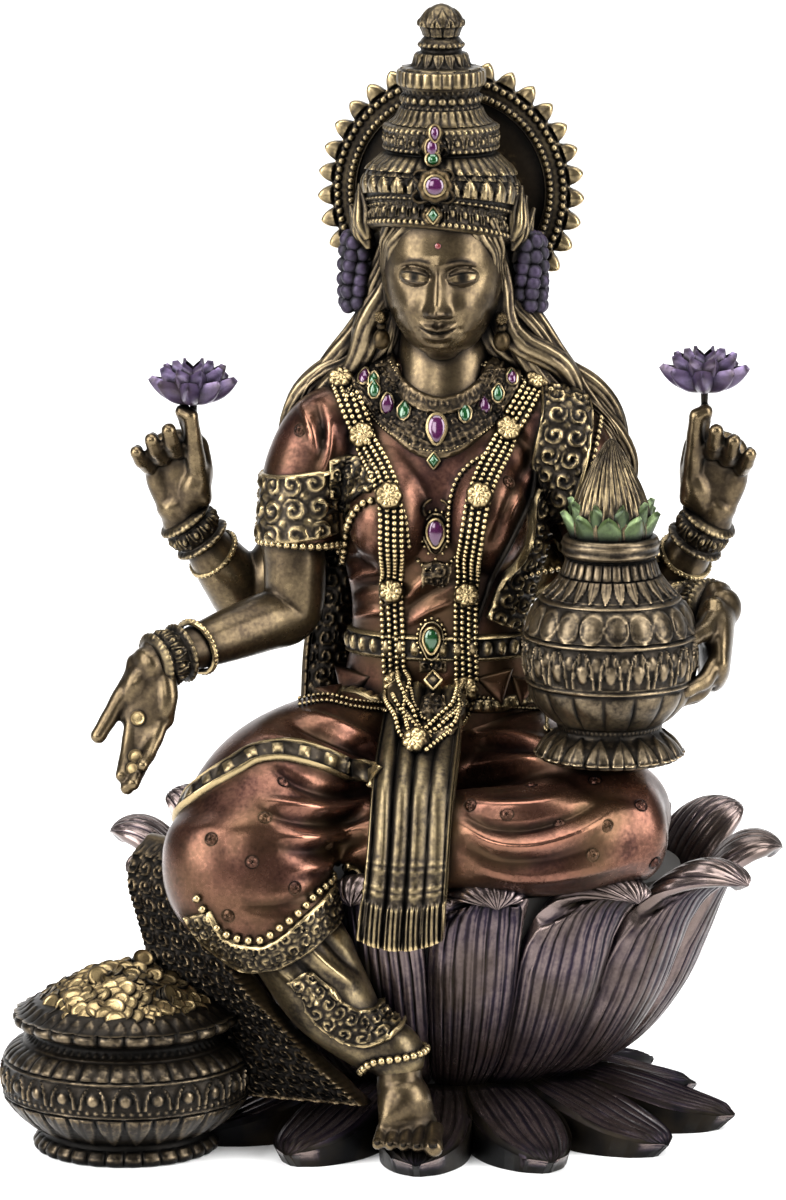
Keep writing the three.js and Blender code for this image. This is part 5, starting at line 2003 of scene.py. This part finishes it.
# the shawl over her left shoulder, and down the back
shawlRelief = lambda s, x: (
    0.9 + 1.0 * scrolls(s, x + 40.5, 4.5) * (np.abs(x) < 5.0) + 0.6 * (np.abs(np.abs(x) - 5.6) < 0.35)
)
over = onSkin([(572, 392), (566, 430), (556, 480), (541, 530), (522, 580), (503, 625)], torsoSkin)
overBack = [(24, 6, 158), (24, 13, 146), (21.5, 16, 130), (18, 16, 112), (15, 17, 96), (13, 20, 82)]
shawlHalf = [6.0, 6.2, 6.4, 6.6, 6.8, 6.4, 5.0]
bronzeWork.append(band([(24, 2, 158.5), *over], shawlHalf, shawlRelief, skin=torsoSkin, passes=5))
bronzeWork.append(
    band(
        [(24, -2, 158.5)] + overBack, 7.4, lambda s, x: 0.9 + 1.0 * scrolls(s, x + 40.5, 4.9), skin=torsoSkin,
        passes=5
    )
)
bronzeWork.append(
    cord(
        seenLine([(546, 396), (540, 440), (530, 490), (512, 535), (492, 575), (476, 622)], torsoSkin), 0.6,
        lift=1.4, skin=torsoSkin
    )
)
bronzeWork.append(
    drawnBeads([(598, 420), (590, 470), (578, 520), (566, 570), (545, 620)], torsoSkin, 0.9, 0.7)
)

# carved panel on the blouse under the garland
panelPoints = onSkin([(328, 480), (346, 478), (362, 478), (376, 484)], torsoSkin)
panelRelief = lambda s, x: 0.4 + 0.9 * scrolls(s + 1, x + 20, 4.2)
bronzeWork.append(band(panelPoints, [4.6, 5.2, 4.6, 2.6], panelRelief, skin=torsoSkin))
panelEdge = [(380, 500), (366, 503), (355, 514), (349, 530), (346, 548), (345, 560)]
bronzeWork.append(drawnBeads(panelEdge, torsoSkin, 0.6, 0.95, gap=1.9, shape=beadShape))
bronzeWork.append(
    cord(seenLine([(325, 512), (340, 508), (360, 494), (378, 480)], torsoSkin), 0.5, lift=0.9, skin=torsoSkin)
)
bronzeWork.append(drawnBeads([(382, 470), (394, 490), (404, 515), (408, 545)], torsoSkin, 0.5, 0.62))
bronzeWork.append(
    drawnBeads([(492, 452), (470, 465), (458, 480), (452, 500), (450, 540)], torsoSkin, 0.5, 0.6)
)

report("borders and bosses")
legSkin = skinOf(skirtObj, underObj, panelObj)
thighLine = [(234, 766), (252, 755), (280, 750), (315, 757), (345, 768), (376, 778)]
thighPoints = onSkin(thighLine, legSkin)
underThigh = [nearest(thighPoints[0] + (-2, 4 * k, -9 * k), legSkin)[0] for k in (2, 1)]
edgeLines = lambda x: np.abs(np.abs(x) - 2.2) < 0.3
thighRelief = lambda s, x: 0.5 + 0.6 * edgeLines(x) + 0.5 * (np.sin(s * 1.1) > 0.2) * (np.abs(x) < 1.4)
bronzeWork.append(band([*underThigh, *thighPoints], 2.9, thighRelief, skin=legSkin))
hemLine = [
    (197, 914), (206, 930), (218, 944), (233, 954), (247, 959), (264, 960), (286, 951), (310, 932),
    (332, 910), (350, 890), (363, 872)
]
hemPoints = onSkin(hemLine, legSkin)
hemRelief = lambda s, x: (
    0.5 + 0.8 * scrolls(s, x + 20, 3.1) * (np.abs(x) < 3.4) + 0.5 * (np.abs(np.abs(x) - 3.8) < 0.35)
)
bronzeWork.append(band(hemPoints, 4.3, hemRelief, skin=legSkin, passes=3))
hemEdge = [(198, 898), (206, 912), (216, 925), (229, 934), (246, 939), (262, 939), (279, 928), (300, 911)]
hemEdge += [(322, 888), (342, 866)]
bronzeWork.append(drawnBeads(hemEdge, legSkin, 0.6, 0.95, gap=2.6, shape=beadShape))

bossHeight = lambda r, a: (
    0.2 + (0.45 + 0.12 * np.cos(a * 5)) * dome((r / 0.8) ** 2) - 0.12 * hump(r - 0.82, 0.1)
)
bosses, bossSpots = [], []
for px, py in [
    (265, 817), (211, 839), (228, 916), (295, 888), (284, 782), (329, 846), (641, 805), (655, 863),
    (593, 855), (560, 823), (595, 780), (507, 814), (531, 785), (608, 826), (300, 430), (509, 482),
    (252, 862), (470, 805)
]:
    bossSpots.append(seen(px, py, dressSkin))
for spot in [
    (20, 16, 128), (-12, 14, 128), (-20, 12, 118), (8, 15, 112), (-48, -28, 76), (-52, -40, 60),
    (52, -16, 74), (42, -8, 80), (-34, -8, 84)
]:
    bossSpots.append(nearest(spot, dressSkin))
for spot, normal in bossSpots:
    bosses.append(medal(spot - unit(normal) * 0.1, normal, 1.5, bossHeight, rings=8, sides=24, sink=0.8))
place(meshObject("clothBosses", *gathered(bosses)), copperCloth, passes=3, scale=0.25)


# bracelets: a stack of beaded and carved rings on each wrist, and a loose one above them
def cuff(wrist, elbow, radius, long=8.6):
    wrist = np.asarray(wrist, float)
    way = unit(np.asarray(elbow, float) - wrist)
    side, top, n = frameOf(way, up=(0.1, 1, 0.05))
    r = radius
    profile = [
        (r - 0.6, 0.0), (r + 1.0, 0.2), (r + 1.7, 1.2), (r + 0.9, 2.4), (r + 1.3, 3.0), (r + 1.5, 4.6),
        (r + 1.2, 6.2), (r + 1.0, 6.6), (r + 1.8, 7.6), (r + 1.0, long), (r - 0.6, long + 0.2)
    ]

    def wave(a, z, rr):
        out = 0.9 * beadBand(a, z, rr, 30, 1.2, 0.75) + 0.9 * beadBand(a, z, rr, 30, 7.6, 0.75)
        return out + 0.8 * rowOf(arches, a, z, 12, 2.6, 6.2)

    verts, faces = turned(profile, (0, 0, 0), sides=200, rows=70, wave=wave)
    start = wrist + way * 0.6
    verts = start + turnedTo(verts, side, top, n)
    a = np.arange(34) / 34 * turn
    tilt = unit(way + np.array([0.0, 0.25, 0.1]))
    s2, t2, n2 = frameOf(tilt, up=(0.1, 1, 0.05))
    loop = wrist + way * 12.4 + (r + 1.6) * (np.cos(a)[:, None] * s2 + np.sin(a)[:, None] * t2)
    return (verts, faces), hoop(loop, 0.62), beadsAt(loop + n2 * 0.2, 0.8)


for wrist, elbow, radius in cuffs:
    body, loop, beads = cuff(wrist, elbow, radius)
    bronzeWork += [body, loop, beads]

anklet = []
for a in np.linspace(-math.pi, math.pi, 20):
    anklet.append(ankle + np.array([6.4 * math.cos(a) - 0.6, 6.4 * math.sin(a), 4.0 + 0.8 * math.cos(a)]))
bronzeWork.append(beadLine(raised(anklet, 0.6, dressSkin), 0.95, gap=1.8, shape=beadShape))
legBand = onSkin([(300, 976), (316, 1000), (338, 1020), (360, 1029), (380, 1024), (396, 1008)], dressSkin)
legRelief = lambda s, x: 0.5 + 0.9 * scrolls(s, x + 20.2, 3.4) + 0.4 * (np.abs(np.abs(x) - 3.9) < 0.3)
bronzeWork.append(band(legBand, 4.4, legRelief, skin=dressSkin, passes=3))

# finger and toe nails
nails = []
nailRise = lambda r, a: 0.3 * dome(0.7 * r**2)
nailOutline = lambda a: 1 / np.hypot(np.cos(a) / 0.72, np.sin(a))
for spot, step, outward, wide in handNails:
    spot = spot + unit(outward) * wide * 0.22
    nails.append(medal(spot, outward, wide * 0.66, nailRise, nailOutline, 4, 18, sink=0.6, up=step))
place(meshObject("nails", *gathered(nails)), skinBronze, passes=2, scale=0.3)

# folded ends of the sash that show dark red between the belt and the lap
sash = []
threeSided = lambda a: 0.55 / np.cos(((a + math.pi / 2) % (turn / 3)) - turn / 6)
for px, py, size, roll in (
    (352, 684, 5.6, 0.12), (496, 684, 4.6, -0.2), (522, 688, 3.8, 0.3), (330, 694, 3.4, -0.3)
):
    spot, normal = seen(px, py, torsoSkin)
    side, top, n = frameOf(unit(normal) + camBack * 0.5)
    sash.append(
        medal(
            spot + n * 0.4, n, size, lambda r, a: 0.3 + 0.8 * dome(r**3), threeSided, rings=10, sides=48,
            up=top + side * roll
        )
    )
place(meshObject("sashFolds", *gathered(sash)), copperCloth, passes=4, scale=0.3)

# earrings and the tassels over the ears
for side in (-1, 1):
    spot = np.array([side * 13.2 - 0.3, -5.4, 174.2])
    gold.append(ball(spot, (1.9, 1.9, 2.3), 20, 14))
    gold.append(ball(spot + (0, 0, 3.0), (1.1, 1.1, 1.1), 14, 10))
    gold.append(rosette(spot + (0, -1.4, 5.2), (side * 0.3, -1, 0), 1.5))
tassels = []
for side in (-1, 1):
    for level in range(6):
        z = 195.0 - level * 2.75
        reach = 2.0 + 0.9 * math.sin((level + 0.8) / 7.6 * math.pi)
        for k in range(7):
            a = k / 7 * turn + level * 0.8
            tassels.append(
                ball(
                    (
                        side * 19.0 - 0.7 + reach * math.cos(a), 2.6 + 1.5 * reach * math.sin(a),
                        z + 0.5 * math.sin(k * 2.3 + level)
                    ),
                    (1.75, 1.5, 1.8), 14, 10
                )
            )
    tassels.append(
        limb(
            [(side * 19.0 - 0.7, 2.6, 197, 1.6, 2.4), (side * 19.0 - 0.7, 2.6, 180, 1.8, 2.6)], sides=20,
            rings=20
        )
    )
# paler violet on the tassels
tasselGlaze = castFinish("violetTasselGlaze", "#08060c", "#33263f", "#7a6187", metallic=0.6, roughness=0.38)
place(meshObject("earTassels", *gathered(tassels)), tasselGlaze, passes=3, scale=0.3)

# the jewel on the front of the crown
crest = [
    # pixel, radius of the stone, its paint and outline, how far it stands out, rosette's share and petals
    (434, 133, 1.3, red, dropOutline, 1.8, 1.6, 6),
    (433, 147, 1.7, red, dropOutline, 1.8, 1.6, 6),
    (433, 161, 1.2, green, None, 1.8, 1.6, 6),
    (435, 186, 1.9, red, None, 2.2, 2.1, 8),
    (432, 215, 1.5, green, lozengeOutline, 1.4, 1.6, 6),
]
for px, py, size, kind, outline, lift, wide, petals in crest:
    spot, normal = seen(px, py, crownSkin)
    normal = unit(np.array([0, -1, 0.12]) + 0.3 * unit(normal))
    stone, loop = stoneAndRim(spot + normal * lift, normal, size, outline, 0.8, 0.32)
    kind.append(stone)
    gold.append(loop)
    gold.append(rosette(spot + normal * (lift - 1.2), normal, size * wide, petals, 0.8))
for dx in (-1, 1):
    for curl in (
        [(6, 172), (14, 170), (20, 176), (15, 182)], [(6, 200), (15, 202), (21, 196), (16, 190)],
        [(4, 150), (10, 146), (14, 152), (9, 156)]
    ):
        line = []
        for x, y in curl:
            spot, normal = seen(434 + dx * x, y, crownSkin)
            line.append(spot + np.array([0, -1.5, 0.1]))
        gold.append(cord(line, 0.45))

place(meshObject("goldBeads", *gathered(gold)), paleGold, passes=3, scale=0.3)
roseObj = meshObject("garlandRosettes", *gathered(roses))
place(roseObj, paleGold)
markRelief(roseObj, 4, 0.3, add=0.45)
bordersObj = meshObject("carvedBorders", *gathered(bronzeWork))
place(bordersObj, bronze)
markRelief(bordersObj, 5, 0.32, add=0.04)
place(meshObject("darkBorders", *gathered(darkWork)), umberAndShade, passes=5, scale=0.3)
place(meshObject("redVioletStones", *gathered(red)), redStone, passes=2, scale=0.2)
place(meshObject("greenStones", *gathered(green)), greenStone, passes=2, scale=0.2)


report("studio")
studioSet = {"world": 0.13, "left": 23.0, "right": 18.0, "top": 13.0, "front": 9.0, "backdrop": 60.0}


def studio():
    for other in bpy.context.selected_objects:
        other.select_set(False)
    bpy.ops.mesh.primitive_grid_add(x_subdivisions=1, y_subdivisions=24, size=2)
    floor = bpy.context.active_object
    floor.name = "floor"
    co = vertsOf(floor) * mm
    along = (co[:, 1] + 1) / 2 * 5.2 - 1.6
    bend = np.clip((along - 1.2) / 1.4, 0, math.pi / 2)
    rest = np.clip(along - 1.2 - 1.4 * math.pi / 2, 0, None)
    y = np.minimum(along, 1.2) + 1.4 * np.sin(bend)
    z = 1.4 * (1 - np.cos(bend)) + rest
    co = np.column_stack([co[:, 0] * 4.0, y, z]) / mm
    moveVerts(floor, co)
    pickOnly(floor)
    bpy.ops.object.shade_smooth()
    paper = bpy.data.materials.new("studioPaper")  # matt white backdrop paper
    paper.use_nodes = True
    shader = paper.node_tree.nodes["Principled BSDF"]
    shader.inputs["Base Color"].default_value = linear("#f4f4f4")
    shader.inputs["Roughness"].default_value = 0.9
    floor.data.materials.append(paper)
    floor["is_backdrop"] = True
    for name, spot, size, power in [
        ("leftSoftbox", (-0.75, -0.55, 0.5), (0.6, 0.9), studioSet["left"]),
        ("rightSoftbox", (0.8, -0.35, 0.45), (0.5, 0.9), studioSet["right"]),
        ("topSoftbox", (0.0, -0.15, 1.0), (0.9, 0.6), studioSet["top"]),
        ("frontSoftbox", (-0.35, -1.25, 0.7), (0.5, 0.6), studioSet["front"]),
        ("backdropLight", (0.0, 0.9, 1.9), (3.0, 0.8), studioSet["backdrop"]),
    ]:
        data = bpy.data.lights.new(name, "AREA")
        data.shape, data.size, data.size_y, data.energy = "RECTANGLE", size[0], size[1], power
        light = bpy.data.objects.new(name, data)
        bpy.context.scene.collection.objects.link(light)
        light.location = spot
        aim = Vector((0, 2.4, 0.3)) if name == "backdropLight" else Vector((0, 0, 0.12))
        light.rotation_euler = (aim - Vector(spot)).to_track_quat("-Z", "Y").to_euler()
    world = bpy.data.worlds.new("studioWorld")
    world.use_nodes = True
    world.node_tree.nodes["Background"].inputs["Color"].default_value = (1, 1, 1, 1)
    world.node_tree.nodes["Background"].inputs["Strength"].default_value = studioSet["world"]
    bpy.context.scene.world = world
    bpy.context.scene.view_settings.view_transform = "Standard"


report("thinning")
thinSet = {"free": 10000, "asTheyAre": ("goldBeads", "coins", "halo")}


# past the free count, a piece's triangles grow only with the square root, so that the whole stays light
def thinned(obj):
    obj.data.calc_loop_triangles()
    count = len(obj.data.loop_triangles)
    if count <= thinSet["free"] or obj.name in thinSet["asTheyAre"]:
        return
    pickOnly(obj)
    fewer = obj.modifiers.new("fewer", "DECIMATE")
    fewer.ratio = math.sqrt(thinSet["free"] / count)
    bpy.ops.object.modifier_apply(modifier="fewer")


for piece in [obj for obj in bpy.context.scene.objects if obj.type == "MESH"]:
    thinned(piece)

studio()
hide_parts("lakshmi_on_lotus")
report("bounds")
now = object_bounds()
asLists = lambda b: json.loads(json.dumps(b, default=lambda o: [float(i) for i in o]))
{"cad": asLists(cadBounds), "scene": asLists(now)}
